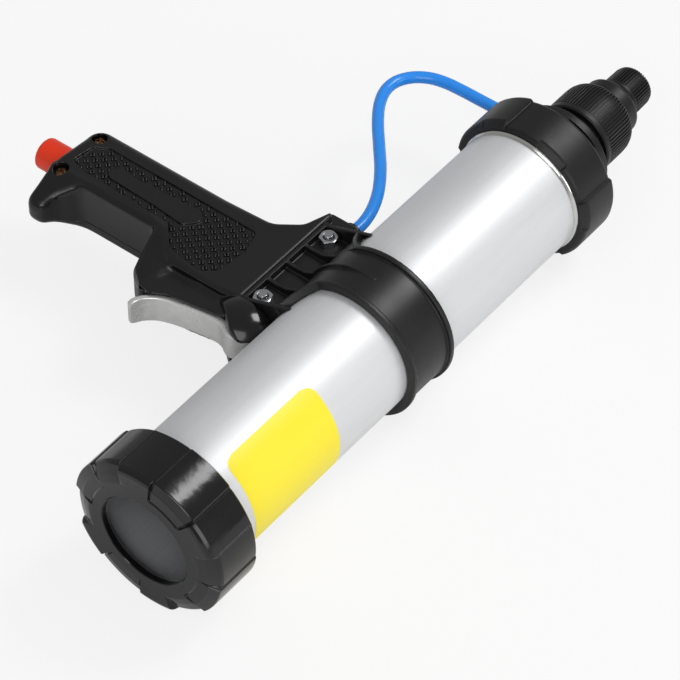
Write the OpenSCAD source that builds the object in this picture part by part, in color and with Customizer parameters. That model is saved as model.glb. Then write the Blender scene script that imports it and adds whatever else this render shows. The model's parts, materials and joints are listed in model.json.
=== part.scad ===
// Pneumatic caulking tool for 310 ml cartridges.
// Origin: centre of the nozzle hole in the front cap's face. +X points forward along the
// barrel, the handle hangs towards -Y and +Z is the tool's right side.
// In names and notes, "s" is a distance behind the cap's face and "d" is a distance from
// the barrel's axis towards the handle's base.

/* [Barrel] */
// Outer diameter of the barrel tube
barrel_d = 54; // [52:0.5:58]
// Wall of the barrel tube
barrel_wall = 1.5; // [1:0.1:2]
// Bare length of barrel between the front cap and the rear ring nut
barrel_bare = 204.7; // [190:0.5:230]

/* [Front cap] */
// Outer diameter of the front cap
cap_d = 68; // [64:0.2:76]
// Length of the front cap
cap_len = 22.8; // [20:0.2:30]
// Thickness of the lip round the nozzle hole
cap_lip = 2.4; // [1.5:0.1:4]
// Diameter of the nozzle hole
nozzle_hole_d = 39.6; // [36:0.2:42]
// Radial room between the cap's bore and the barrel
cap_room = 0.35; // [0.3:0.05:0.6]
// Rounding of the cap's front edge
cap_round = 2.4; // [1.6:0.2:3]
// Radial size of the deeper bevels on parts of the front edge
cap_bevel = 4; // [3:0.2:5]
// Width of each panel of the front cap, between its two lines
panel_w = 19.8; // [14:0.2:22]
// Depth of the lines beside each panel
panel_line = 0.3; // [0.2:0.1:0.6]
// Thickness of the metal washer behind the cap's lip
washer_t = 1.6; // [1:0.1:2.5]

/* [Rear ring nut] */
// Outer diameter of the rear ring nut
ring_nut_d = 60.4; // [60:0.2:66]
// Height of the two raised quarters of the ring nut
ring_nut_lug = 1.4; // [0.5:0.1:1.5]
// Length of the ring nut
ring_nut_len = 19.4; // [18:0.5:26]
// Bevel on the ring nut's edges
ring_nut_bevel = 1.2; // [0.6:0.1:2]
// Thickness of the ring nut's front lip
ring_nut_lip = 1.8; // [1.2:0.1:3]
// Outer diameter of the bright collar on the barrel's rear end
collar_d = 55.8; // [55.5:0.2:58]
// Height of the collar's hidden flange above its outer diameter
collar_flange = 0.5; // [0.4:0.1:1]

/* [Regulator] */
// Wall of the union nut round the end plug's neck
union_wall = 2.5; // [2:0.1:4]
// Outer diameter of the slotted silencer ring
silencer_d = 42; // [36:0.5:46]
// Width of the silencer ring
silencer_w = 9.4; // [7:0.2:10]
// Number of exhaust slots round the silencer ring
silencer_slots = 6; // [4:1:12]
// Length of each exhaust slot round the ring
slot_len = 15; // [6:0.5:16]
// Outer diameter of the ribbed union nut
union_d = 33; // [30:0.5:36]
// Length of the union nut
union_len = 19.5; // [18:0.5:26]
// Number of ribs round the union nut
union_ribs = 40; // [20:2:48]
// Outer diameter of the regulator's bonnet
bonnet_d = 25.2; // [22:0.2:27]
// Length of bonnet that shows behind the union nut
bonnet_show = 9.5; // [8:0.5:14]
// Wall of the bonnet
bonnet_wall = 3.2; // [2:0.1:4]
// Outer diameter of the regulator knob
knob_d = 18.2; // [15:0.2:20]
// Length of the regulator knob
knob_len = 13.9; // [10:0.1:18]
// Number of ribs round the knob
knob_ribs = 28; // [16:2:36]
// Diameter of the knob's screw
screw_d = 4.8; // [4:0.2:6]
// Turns of the knob from one end to the other
knob_turns = 4; // [2:1:5]
// Travel of the spring seat for one turn of the knob
screw_lead = 1.25; // [1:0.05:1.5]

/* [Clamp] */
// Distance from the front cap to the clamp's band
clamp_gap = 96.6; // [80:0.5:110]
// Width of the clamp's band
band_w = 24.4; // [20:0.2:30]
// Thickness of the band
band_t = 2.2; // [1.5:0.1:3]
// Height of the band's edge ribs
band_rib = 1.4; // [0.8:0.1:2]
// Width of the band's edge ribs and of the ribs on the legs
rib_w = 1.8; // [1.2:0.1:2.4]
// Length of the clamp's legs along the barrel
leg_len = 51; // [48:0.5:58]
// Depth of the legs below the barrel's axis
leg_drop = 41.5; // [40:0.5:44]
// Floor thickness of the pockets in the legs
leg_floor = 2.2; // [1.6:0.1:3]
// Distance between the two clamp bolts
bolt_span = 40; // [38:0.5:42]
// Distance of the clamp bolts from the barrel's axis
bolt_drop = 35.6; // [35:0.1:37]
// Diameter of the clamp bolts
bolt_d = 4; // [3:0.5:5]
// Width of the clamp nuts across their flats
nut_af = 7; // [5.5:0.5:8]

/* [Handle] */
// Half of the handle's thickness
handle_half = 12.5; // [12:0.1:14]
// Half of the thickness of the tongue between the clamp's legs
tongue_half = 7; // [6.5:0.1:7.5]
// Distance of the handle's base from the barrel's axis
handle_drop = 146; // [140:1:160]
// Depth of the grip from front to back
grip_depth = 30.4; // [28:0.2:36]
// Distance from the clamp's front leg end back to the front of the grip
grip_set_back = 8.2; // [6:0.2:10]
// Rounding of the grip's back edges
grip_back_round = 5; // [3:0.5:7]
// Rounding of the grip's front edges
grip_front_round = 3; // [2:0.5:5]
// Depth of the sunk panel on each side of the grip
panel_sink = 0.8; // [0.4:0.1:1.2]
// Diameter of the handle screws' heads
screw_head_d = 5.6; // [4.5:0.1:6.5]

/* [Trigger] */
// Width of the trigger
trigger_w = 13; // [10:0.2:13.4]
// Thickness of the trigger's front plate
trigger_t = 2.4; // [2:0.2:3]
// Diameter of the trigger pin
pin_d = 4; // [3:0.2:5]
// Full pull of the trigger in degrees
trigger_pull = 8; // [4:1:8]

/* [Air path] */
// Outer diameter of the blue air hose
hose_d = 5; // [4:0.2:6]
// Bore of the inlet's thread, G1/4
inlet_bore_d = 11.44; // [11:0.02:12]
// Outer diameter of the inlet fitting
fitting_d = 17; // [16:0.5:18]
// Diameter of the red inlet plug
plug_d = 13.4; // [12.8:0.1:14]
// Length of the inlet plug outside the handle
plug_show = 15; // [10:0.5:20]
// Distance of the trigger's air valve from the barrel's axis
valve_drop = 56; // [54:0.5:58]
// Outer diameter of the valve's body
valve_d = 13.6; // [12:0.2:13.8]
// Diameter of the valve's stem
stem_d = 5; // [4:0.2:6]

/* [Hidden] */

$fn = 96;
fit = 0.05;
seat = 0.1;
black = [0.12, 0.12, 0.125];
zinc = [0.78, 0.78, 0.76];
brass = [0.72, 0.52, 0.28];

barrel_r = barrel_d / 2;
bore_r = barrel_r - barrel_wall;
cap_r = cap_d / 2;
cap_bore_r = barrel_r + cap_room;
hole_r = nozzle_hole_d / 2;
barrel_front = cap_lip + washer_t + 0.4;
washer_room = 0.6;
nut_front = cap_len + barrel_bare;
nut_back = nut_front + ring_nut_len;
nut_r = ring_nut_d / 2;
collar_r = collar_d / 2;
barrel_back = nut_front + 3.6;
flange_r = collar_r + collar_flange;
nut_bore_r = flange_r + 0.1;
cap_turn = 65.5;
line_w = 0.9;
nut_turn = 63;

// Regulator, from the ring nut to the knob's end
union_r = union_d / 2;
neck_r = union_r - union_wall;
silencer_s = nut_back + 1.2;
slot_w = 4.4;
hose_fit_r = 4.2;
port_s = nut_back + 12.3;
union_s = port_s + 4.4;
union_back = union_s + union_len;
neck_end = union_s + 6;
diaphragm_t = 1.5;
bonnet_s = neck_end + diaphragm_t;
bonnet_lip = 2.5;
bonnet_r = bonnet_d / 2;
bonnet_back = union_back + bonnet_show;
bonnet_bore_r = bonnet_r - bonnet_wall;
bonnet_top = 4.6;
collar_t = 2;
screw_collar_s = bonnet_back - bonnet_top - collar_t - seat;
seat_t = 2.5;
seat_s = screw_collar_s - seat_t - 0.3;
seat_travel = knob_turns * screw_lead;
knob_s = bonnet_back + 0.3;
knob_r = knob_d / 2;
screw_r = screw_d / 2;
key_w = 2;
key_h = 1.2;

// Clamp and the handle's stations
band_s = cap_len + clamp_gap;
band_back = band_s + band_w;
band_mid = band_s + band_w / 2;
band_r = barrel_r + 0.15;
leg_s = band_mid - leg_len / 2;
leg_back = leg_s + leg_len;
bolt_s = [band_mid - bolt_span / 2, band_mid + bolt_span / 2];
leg_in = tongue_half + 0.15;
leg_out = handle_half + 0.1;
pocket_z = leg_in + leg_floor;
rib_r = band_r + band_t + band_rib;
web_fillet = 8;
flare_d = 18;
flare_len = 15;
flare_z = sqrt(pow(rib_r, 2) - pow(flare_d, 2)) - 4;
nut_t = 3.2;
head_t = 3.6;

grip_s = leg_s + grip_set_back;
handle_back = grip_s + grip_depth;
parting = -tongue_half;
spur_back = leg_back + 8.2;
spur_top = 31;
inlet_s = grip_s + grip_depth * 0.46;
pivot = [-(leg_s - 7.6), -36.5];
dome_r = 15.8;
pin_half = handle_half - 1.5;
slot_top = 44;
slot_base = 75;
valve_s = leg_s + 0.8;
valve_len = 27.4;
valve_back = valve_s + valve_len;
valve_r = valve_d / 2;
stem_r = stem_d / 2;
pad_back = 0.15;
stem_tip_s = -pivot[0] + pad_back + 0.15;
pipe_r = 5;
pipe_bore_r = 3.95;
outlet_r = 2;
outlet_s = valve_s + 4.5;
valve_room = valve_r + 0.4;
port_top = valve_drop - valve_room + 0.1;
hose_fit_d = 37.2;
hose_fit_back = spur_back + 4;
hose_r = hose_d / 2;
fitting_r = fitting_d / 2;
plug_r = plug_d / 2;
entry_depth = 4;
thread_len = 12;
fitting_len = 22;
head_z = handle_half - 3.4;
head_h = 1.8;
shank_d = 2.4;
screws = [[handle_back - 6.2, handle_drop - 6], [grip_s + 2.2, handle_drop - 5.2]];

// Route of the hose from the handle's fitting to the regulator's, chosen by hand
hose_end_d = 26;
hose_route = [[-168.8, -37.2, 0], [-176, -37.4, 0], [-184, -39.4, 0], [-193, -43.6, 0],
              [-203, -50.4, 0], [-213, -58.8, 0], [-223, -67.2, 0], [-232, -73.4, 0],
              [-240, -76.6, 0], [-247, -76.4, 0], [-253, -72.8, 0], [-257, -67, 0],
              [-258.8, -60, 0], [-259.2, -52, 0], [-259.2, -44, 0], [-259.2, -36, 0],
              [-259.2, -25.4, 0]];
outlet_route = [[-111.4, -48.8, 0], [-111.4, -46.6, 0], [-113, -45.4, 0],
                [-116, -45.2, 0], [-130, -45.2, 0], [-146, -45.2, 0], [-151, -44.2, 0],
                [-154, -41.8, 0], [-156.6, -38.6, 0], [-158.8, -37.4, 0],
                [-160, -37.2, 0], [-161, -37.2, 0]];

// Revolve round the barrel's axis an outline of [s, radius] points
module turned(outline)
    rotate([0, 90, 0])
        rotate_extrude()
            polygon([for (p = outline) [p[1], -p[0]]]);

// Ring or rod round the barrel's axis from s0 to s1
module ring(s0, s1, r_out, r_in = 0)
    translate([-s1, 0, 0])
        rotate([0, 90, 0])
            difference() {
                cylinder(r = r_out, h = s1 - s0);
                if (r_in > 0)
                    translate([0, 0, -1])
                        cylinder(r = r_in, h = s1 - s0 + 2);
            }

// Ring or rod on a line along Y at station s, from d0 to d1 below the barrel's axis
module post(s, d0, d1, r_out, r_in = 0)
    translate([-s, -d0, 0])
        rotate([90, 0, 0])
            difference() {
                cylinder(r = r_out, h = d1 - d0);
                if (r_in > 0)
                    translate([0, 0, -1])
                        cylinder(r = r_in, h = d1 - d0 + 2);
            }

// Block from s0 to s1, from d0 to d1 below the axis and from z0 to z1
module block(s0, s1, d0, d1, z0, z1)
    translate([-s1, -d1, z0])
        cube([s1 - s0, d1 - d0, z1 - z0]);

// Plate with an outline of [s, d] points between two heights
module plate(outline, z0, z1)
    translate([0, 0, z0])
        linear_extrude(z1 - z0)
            polygon([for (p = outline) [-p[0], -p[1]]]);

// Points of an arc in degrees, for outlines
function arc(c, r, a0, a1, steps = 8) =
    [for (i = [0:steps]) let (a = a0 + (a1 - a0) * i / steps) c + r * [cos(a), sin(a)]];

function unit(v) = v / norm(v);

// Frame vectors of a tube that stays in planes parallel to XY
function along(path, i) =
    unit(path[min(i + 1, len(path) - 1)] - path[max(i - 1, 0)]);
function tube_ring(path, i, r, sides) =
    let (t = along(path, i), u = cross([0, 0, 1], t))
    [for (k = [0:sides - 1]) let (a = 360 * k / sides)
        path[i] + r * (cos(a) * u + sin(a) * [0, 0, 1])];

// One closed tube swept along the points of a path
module swept(path, r, sides) {
    n = len(path);
    points = [for (i = [0:n - 1]) each tube_ring(path, i, r, sides)];
    walls = [for (i = [0:n - 2], k = [0:sides - 1])
        let (a = i * sides + k, b = i * sides + (k + 1) % sides)
        each [[a, b, b + sides], [a, b + sides, a + sides]]];
    last = (n - 1) * sides;
    near = [for (k = [1:sides - 2]) [0, k + 1, k]];
    far = [for (k = [1:sides - 2]) [last, last + k, last + k + 1]];
    polyhedron(points, concat(walls, near, far));
}

// Wire spring round a line along X from s0 to s1
module coil(s0, s1, r_mean, wire_r, turns) {
    steps = 8 * turns;
    path = [for (i = [0:steps]) let (a = 360 * i / 8)
        [-(s0 + wire_r + (s1 - s0 - 2 * wire_r) * i / steps),
         r_mean * cos(a), r_mean * sin(a)]];
    echo(gap_between_coils = min([for (i = [0:steps - 6], j = [i + 6:steps])
        norm(path[i] - path[j])]) - 2 * wire_r);
    sides = 6;
    points = [for (i = [0:steps]) let (a = 360 * i / 8, out = [0, cos(a), sin(a)])
        for (k = [0:sides - 1]) let (b = 360 * k / sides)
            path[i] + wire_r * (cos(b) * out + sin(b) * [1, 0, 0])];
    walls = [for (i = [0:steps - 1], k = [0:sides - 1])
        let (a = i * sides + k, b = i * sides + (k + 1) % sides)
        each [[a, b + sides, b], [a, a + sides, b + sides]]];
    last = steps * sides;
    near = [for (k = [1:sides - 2]) [0, k, k + 1]];
    far = [for (k = [1:sides - 2]) [last, last + k + 1, last + k]];
    polyhedron(points, concat(walls, near, far));
}

// Bevel along a stretch of the front cap's edge, panel_w wide and bevel_s deep
module edge_bevel(turn, bevel_s)
    intersection() {
        rotate([turn, 0, 0])
            translate([-bevel_s - 1, 0, -panel_w / 2])
                cube([bevel_s + 2, 2 * cap_r, panel_w]);
        turned([[bevel_s, cap_r], [0, cap_r - cap_bevel], [-1, cap_r - cap_bevel],
                [-1, cap_r + 1], [bevel_s, cap_r + 1]]);
    }

module front_cap() {
    line_turn = asin(panel_w / 2 / cap_r);
    between = 56.5;
    color(black)
        difference() {
            turned(concat([[0, hole_r]],
                          arc([cap_round, cap_r - cap_round], cap_round, 180, 90, 4),
                          [[cap_len, cap_r], [cap_len, cap_bore_r],
                           [cap_lip, cap_bore_r], [cap_lip, hole_r]]));
            for (k = [0:3])
                edge_bevel(cap_turn + 90 * k, cap_bevel / 2);
            for (turn = [between, -between], k = [0:1])
                edge_bevel(cap_turn + turn + 180 * k, cap_bevel * 0.8);
            for (k = [0:3], side = [-1, 1])
                rotate([cap_turn + 90 * k + side * line_turn, 0, 0])
                    translate([-cap_len - 1, cap_r - panel_line, -line_w / 2])
                        cube([cap_len + 2, 2, line_w]);
        }
}

module cap_washer()
    color(zinc)
        ring(cap_lip + seat, cap_lip + washer_t, barrel_r, hole_r + washer_room);

module barrel_tube()
    color([0.8, 0.8, 0.81])
        ring(barrel_front, barrel_back, barrel_r, bore_r);

module tube_collar()
    color(zinc)
        turned([[nut_front - 1, barrel_r + 0.02], [nut_front - 1, collar_r - 0.4],
                [nut_front - 0.6, collar_r], [nut_front + 2.1, collar_r],
                [nut_front + 2.1, flange_r], [barrel_back, flange_r],
                [barrel_back, barrel_r + 0.02]]);

// Disc on the barrel's axis with a bevel on each edge
module bevelled_ring(s0, s1, r)
    turned([[s0, 0], [s0, r - ring_nut_bevel], [s0 + ring_nut_bevel, r],
            [s1 - ring_nut_bevel, r], [s1, r - ring_nut_bevel], [s1, 0]]);

module ring_nut() {
    color(black)
        difference() {
            union() {
                bevelled_ring(nut_front, nut_back, nut_r);
                intersection() {
                    bevelled_ring(nut_front, nut_back, nut_r + ring_nut_lug);
                    for (k = [0:1])
                        rotate([nut_turn + 45 + 180 * k, 0, 0])
                            translate([-nut_back, 0, 0])
                                cube([ring_nut_len, 2 * nut_r, 2 * nut_r]);
                }
            }
            ring(nut_front - 1, nut_front + ring_nut_lip, collar_r + 0.15);
            ring(nut_front + ring_nut_lip, nut_back + 1, nut_bore_r);
        }
}

module end_plug() {
    spigot_r = bore_r - 0.1;
    spigot_s = barrel_back - 14;
    groove_s = barrel_back - 9;
    groove_r = spigot_r - 2.2;
    groove_back = groove_s + 2.6;
    color(black)
        difference() {
            turned([[spigot_s, 0], [spigot_s, spigot_r - 1], [spigot_s + 1, spigot_r],
                    [groove_s, spigot_r], [groove_s, groove_r],
                    [groove_back, groove_r], [groove_back, spigot_r],
                    [barrel_back + 0.1, spigot_r], [barrel_back + 0.1, flange_r],
                    [nut_back - 1.5, flange_r], [nut_back - 0.5, flange_r - 1],
                    [nut_back - 0.5, neck_r + 4], [nut_back + 1, neck_r],
                    [neck_end, neck_r], [neck_end, 0]]);
            ring(spigot_s - 1, neck_end - 16, 2.5);
            ring(neck_end - 16.5, neck_end + 1, 5);
            post(port_s, 2, neck_r + 1, 3.1);
        }
}

module plug_o_ring()
    color([0.1, 0.1, 0.1])
        rotate([0, 90, 0])
            translate([0, 0, -(barrel_back - 7.7)])
                rotate_extrude()
                    translate([bore_r - 1.15, 0])
                        circle(r = 1.05, $fn = 32);

module cartridge_seal()
    color([0.2, 0.2, 0.2])
        turned([[barrel_back - 17, bore_r - 3.6], [barrel_back - 17, bore_r - 0.4],
                [barrel_back - 14, bore_r - 1.4], [barrel_back - 14, bore_r - 6]]);

module silencer_ring() {
    r = silencer_d / 2;
    color(black)
        difference() {
            turned([[silencer_s, neck_r + fit], [silencer_s, r],
                    [silencer_s + silencer_w - 1, r],
                    [silencer_s + silencer_w, r - 1],
                    [silencer_s + silencer_w, neck_r + fit]]);
            for (k = [0:silencer_slots - 1])
                rotate([360 * k / silencer_slots, 0, 0])
                    translate([-silencer_s - slot_w - 1.6, neck_r + 2.5, -slot_len / 2])
                        cube([slot_w, r, slot_len]);
            post(port_s, neck_r - 1, r + 1, hose_fit_r + seat);
        }
}

module union_nut() {
    lip_s = bonnet_s + bonnet_lip + seat;
    color(black)
        difference() {
            turned([[union_s, neck_r + fit], [union_s, union_r - 0.4],
                    [union_s + 0.8, union_r], [union_back - 6.5, union_r],
                    [union_back, union_r - 2.3], [union_back, bonnet_r + fit],
                    [lip_s, bonnet_r + fit], [lip_s, neck_r + fit]]);
            for (k = [0:union_ribs - 1])
                rotate([360 * k / union_ribs, 0, 0])
                    translate([-union_back - 1, union_r - 0.7, -0.6])
                        cube([union_len - 3, 2, 1.2]);
        }
}

module bonnet()
    color(black)
        difference() {
            turned([[bonnet_s, bonnet_bore_r], [bonnet_s, neck_r],
                    [bonnet_s + bonnet_lip, neck_r], [bonnet_s + bonnet_lip, bonnet_r],
                    [bonnet_back - 3.6, bonnet_r], [bonnet_back - 2.4, bonnet_r - 0.8],
                    [bonnet_back, knob_r + 0.6], [bonnet_back, screw_r + fit],
                    [bonnet_back - bonnet_top, screw_r + fit],
                    [bonnet_back - bonnet_top, bonnet_bore_r]]);
            translate([-screw_collar_s, 0, -key_w / 2 - 0.1])
                cube([screw_collar_s - bonnet_s + 1, bonnet_bore_r + key_h + 0.2,
                      key_w + 0.2]);
        }

module diaphragm()
    color([0.15, 0.15, 0.15])
        ring(neck_end, bonnet_s, neck_r);

module regulator_valve()
    color(brass) {
        ring(neck_end - 7, neck_end - 5, 3.6);
        ring(neck_end - 14, neck_end, 1.2);
    }

module regulator_spring()
    color(zinc)
        coil(bonnet_s, seat_s, 6, 0.7, 5);

module spring_seat()
    color(brass)
        difference() {
            union() {
                ring(seat_s, seat_s + seat_t, bonnet_bore_r - fit);
                translate([-seat_s - seat_t, 0, -key_w / 2])
                    cube([seat_t, bonnet_bore_r + key_h, key_w]);
            }
            ring(seat_s - 1, seat_s + seat_t + 1, screw_r + fit);
        }

module adjuster_screw()
    color(zinc) {
        ring(seat_s - seat_travel - 1, knob_s + knob_len - 4, screw_r);
        ring(screw_collar_s, screw_collar_s + collar_t, screw_r + 2.4);
    }

module regulator_knob() {
    knob_end = knob_s + knob_len;
    color(black)
        difference() {
            turned([[knob_s, screw_r], [knob_s, knob_r - 0.4], [knob_s + 0.8, knob_r],
                    [knob_end - 2, knob_r - 0.4], [knob_end - 0.6, knob_r - 1.2],
                    [knob_end, knob_r - 2.6], [knob_end, 0], [knob_end - 4, 0],
                    [knob_end - 4, screw_r]]);
            for (k = [0:knob_ribs - 1])
                rotate([360 * k / knob_ribs, 0, 0])
                    translate([-knob_end - 1, knob_r - 1, -0.5])
                        cube([knob_len - 1, 2, 1]);
        }
}

// Web of the clamp's right leg at station s, from an outline of [d, z] points
module leg_web(s, width, outline)
    translate([-s - width, 0, 0])
        rotate([90, 0, 90])
            linear_extrude(width)
                polygon([for (p = outline) [-p[0], p[1]]]);

// Right leg of the clamp, before the barrel is cut out of it
module clamp_leg() {
    inner = band_r - 4;
    foot = [[leg_drop, leg_in], [leg_drop, leg_out]];
    root = [[inner * 0.6, inner * 0.8], [20, leg_in]];
    fillet_z = leg_out + web_fillet;
    fillet_d = sqrt(pow(rib_r + web_fillet, 2) - pow(fillet_z, 2));
    curved = arc([fillet_d, fillet_z], web_fillet, 270, 180 + atan2(fillet_z, fillet_d));
    difference() {
        union() {
            block(leg_s, leg_back, 14, leg_drop, leg_in, pocket_z);
            block(leg_s, leg_back, leg_drop - rib_w, leg_drop, leg_in, leg_out);
            for (s = [leg_s, leg_back - rib_w])
                leg_web(s, rib_w, concat(foot, [[leg_drop - 3, leg_out]],
                                         [[flare_d, flare_z]], root));
            for (s = [band_s, band_mid - rib_w / 2, band_back - rib_w])
                leg_web(s, rib_w, concat(foot, curved, root));
        }
        for (s = bolt_s)
            translate([-s, -bolt_drop, 0])
                cylinder(d = bolt_d + 0.2, h = leg_out);
    }
}

// Edge of the shell from a leg's end, at depth flare_d, to the band's edge
function flare(s_leg, s_band, steps = 8) =
    [for (i = [0:steps]) let (t = i / steps)
        [s_leg + (s_band - s_leg) * t * t * (3 - 2 * t), flare_d - flare_len * t]];

// Shell that spreads from the band to the full length of the legs
module flared_shell() {
    front = flare(leg_s, band_s);
    back = flare(leg_back, band_back);
    last = len(front) - 1;
    tail = [for (i = [last:-1:0]) back[i]];
    intersection() {
        ring(leg_s, leg_back, band_r + band_t);
        plate(concat([[leg_s, leg_drop - 1]], front, tail, [[leg_back, leg_drop - 1]]),
              -40, 40);
    }
    intersection() {
        ring(leg_s, leg_back, rib_r);
        union() {
            plate(concat(front, [for (i = [last:-1:0]) front[i] + [rib_w, 0]]), -40, 40);
            plate(concat(back, [for (i = [last:-1:0]) back[i] - [rib_w, 0]]), -40, 40);
        }
    }
}

module clamp()
    color(black)
        difference() {
            union() {
                ring(band_s, band_back, band_r + band_t);
                ring(band_s, band_s + rib_w, rib_r);
                ring(band_back - rib_w, band_back, rib_r);
                flared_shell();
                clamp_leg();
                mirror([0, 0, 1])
                    clamp_leg();
            }
            ring(leg_s - 1, leg_back + 1, band_r);
            block(leg_s - 1, leg_back + 1, 20, leg_drop + 1, -leg_in, leg_in);
        }

module clamp_bolts()
    color(zinc)
        for (s = bolt_s)
            translate([-s, -bolt_drop, 0])
                difference() {
                    union() {
                        translate([0, 0, -pocket_z])
                            cylinder(d = bolt_d, h = 2 * pocket_z + nut_t + 1);
                        translate([0, 0, -pocket_z - head_t])
                            cylinder(d = nut_af, h = head_t);
                    }
                    translate([0, 0, -pocket_z - head_t - 1])
                        cylinder(d = 3.6, h = 3, $fn = 6);
                }

module clamp_nuts()
    color(zinc)
        for (s = bolt_s)
            translate([-s, -bolt_drop, pocket_z])
                difference() {
                    rotate([0, 0, 30])
                        cylinder(d = nut_af / cos(30), h = nut_t, $fn = 6);
                    translate([0, 0, -1])
                        cylinder(d = bolt_d + 0.04, h = nut_t + 2);
                }

// Whole outside of the handle below the clamp, without the nose
module handle_outside() {
    intersection() {
        plate(concat(arc([handle_back - 7, handle_drop - 7], 7, 0, 90),
                     [[grip_s, handle_drop], [grip_s, 60], [handle_back, 60]]),
              -handle_half, handle_half);
        grip_section();
    }
    intersection() {
        plate(concat([[grip_s + 4, handle_drop - 22], [grip_s + 0.4, handle_drop - 19]],
                     [[grip_s - 3, handle_drop - 12]],
                     arc([grip_s - 10, handle_drop - 5], 5, 260, 80),
                     [[grip_s + 4, handle_drop]]),
              -handle_half, handle_half);
        bow(grip_s, 15);
    }
    intersection() {
        plate(concat([[leg_s + 14, 96], [grip_s, 92]],
                     arc([grip_s - 14.5, 82.5], 5, 85, 265),
                     [[leg_s - 2, 75], [leg_s + 14, 75]]),
              -handle_half, handle_half);
        bow(grip_s, 19);
    }
    plate(concat([[leg_s - 2.2, 74], [leg_s - 2.2, 50], [leg_s, leg_drop + 0.1],
                  [spur_back - 4, leg_drop + 0.1]],
                 [[spur_back - 2.5, 43.4], [handle_back + 6.5, 47.6]],
                 arc([handle_back + 9.4, 55.6], 8.6, 250, 190, 5),
                 [[handle_back, 62], [handle_back - grip_back_round, 72]],
                 [[handle_back - grip_back_round, 90], [grip_s, 90], [leg_s - 1, 76]]),
          -handle_half, handle_half);
    intersection() {
        plate(concat([[leg_back - 4, spur_top + 4], [leg_back, spur_top + 3],
                      [leg_back + 0.6, spur_top]],
                     arc([spur_back - 4, spur_top + 4], 4, 270, 360, 4),
                     arc([spur_back - 4, 42], 4, 0, 70, 4),
                     [[leg_back - 4, 48]]),
              -9, 9);
        block(leg_back + 0.3, spur_back + 1, 20, 60, -20, 20);
    }
}

// Rounded section of the grip, standing along Y
module grip_section()
    translate([0, -20, 0])
        rotate([90, 0, 0])
            linear_extrude(handle_drop)
                grip_outline();

// Rectangle with rounded corners drawn by its own arcs, back edges rounder than front
module grip_outline() {
    b = handle_back;
    f = grip_s;
    h = handle_half;
    rb = grip_back_round;
    rf = grip_front_round;
    polygon([for (p = concat(arc([b - rb, h - rb], rb, 0, 90),
                             arc([f + rf, h - rf], rf, 90, 180),
                             arc([f + rf, rf - h], rf, 180, 270),
                             arc([b - rb, rb - h], rb, 270, 360))) [-p[0], p[1]]]);
}

// Bow-shaped block seen from the base: full width at the grip, narrow at the tip
module bow(s, reach)
    translate([0, -20, 0])
        rotate([90, 0, 0])
            linear_extrude(handle_drop)
                polygon([[-s - 8, -handle_half], [-s - 8, handle_half],
                         [-s, handle_half - 0.8], [-s + reach * 0.55, 9],
                         [-s + reach - 1.5, 4], [-s + reach, 1.5], [-s + reach, -1.5],
                         [-s + reach - 1.5, -4], [-s + reach * 0.55, -9],
                         [-s, 0.8 - handle_half]]);

// Domed cheek that holds the trigger's pin on the right side of the slot
module cheek() {
    p = [-pivot[0], -pivot[1]];
    end = leg_s - seat;
    difference() {
        intersection() {
            plate([[end, p[1] - 12.5], p + [-6.3, -12.5], p + [-8.1, -5.3],
                   p + [-6.7, -0.5], p + [-2.1, 5.1], p + [4.9, 15], [end, p[1] + 15.5]],
                  tongue_half, handle_half + 2);
            translate([pivot[0] - 3, pivot[1] - 0.5, -2])
                sphere(r = dome_r);
        }
        ring(60, 140, barrel_r + 0.5);
        translate([pivot[0], pivot[1], 0])
            cylinder(d = pin_d + 2 * fit, h = pin_half + seat);
    }
}

// Sunk border of the side panel round its smooth island
module sunk_panel(z) {
    b = handle_back;
    f = grip_s;
    h = handle_drop;
    difference() {
        plate([[f + 8.5, h - 5.7], [b - 11.6, h - 7.3], [b - 8.2, h - 13.1],
               [b - 8.6, 58.6], [b - 19.2, 55.8], [f - 3.2, 57.3], [f - 7.3, 63.2],
               [f - 5.1, 79.4], [f + 5, 88.7], [f + 6.6, h - 12.6]],
              z, z + panel_sink + 1);
        plate([[f + 11.6, h - 20.5], [b - 13.3, h - 24.4], [b - 14.3, h - 32.3],
               [b - 12.7, 81.6], [b - 17.8, 79.1], [f + 7.5, 84.2], [f + 8.8, 98.9],
               [f + 9.6, h - 24]],
              z - 1, z + panel_sink + 2);
    }
}

module screw_holes(z0, z1, d)
    for (p = screws)
        translate([-p[0], -p[1], z0])
            cylinder(d = d, h = z1 - z0);

module handle_body() {
    color(black)
        difference() {
            union() {
                intersection() {
                    handle_outside();
                    block(0, 400, 0, 400, parting, 50);
                }
                block(leg_s, spur_back - 6, spur_top, 45, parting, tongue_half);
                cheek();
            }
            for (s = bolt_s)
                translate([-s, -bolt_drop, -20])
                    cylinder(d = bolt_d + 0.2, h = 40);
            block(valve_s, valve_back + 6, valve_drop - valve_room,
                  valve_drop + valve_room, parting - 1, valve_r + seat);
            block(0, valve_s + 1, slot_top, slot_base, -tongue_half, tongue_half);
            block(inlet_s - 6, inlet_s + 6, valve_drop, handle_drop - fitting_len + 1, parting - 1,
                  pipe_r + seat);
            post(inlet_s, handle_drop - fitting_len, handle_drop + 1, fitting_r + fit);
            block(inlet_s - fitting_r - fit, inlet_s + fitting_r + fit,
                  handle_drop - fitting_len, handle_drop + 1, parting - 1, 0);
            block(outlet_s - 2.6, handle_back + 9, 42.6, 50, parting - 1,
                  outlet_r + seat);
            block(handle_back + 3, spur_back - 4, 35, 47.8, parting - 1,
                  outlet_r + seat);
            fitting_seat();
            sunk_panel(handle_half - panel_sink);
            screw_holes(head_z, 20, screw_head_d + 0.6);
            screw_holes(parting - 1, 20, shank_d + 0.6);
        }
}

// Seat of the hose fitting in the end of the spur
module fitting_seat()
    translate([-spur_back - 1, -hose_fit_d, 0])
        rotate([0, 90, 0])
            cylinder(r = hose_fit_r + seat, h = 7);

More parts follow.
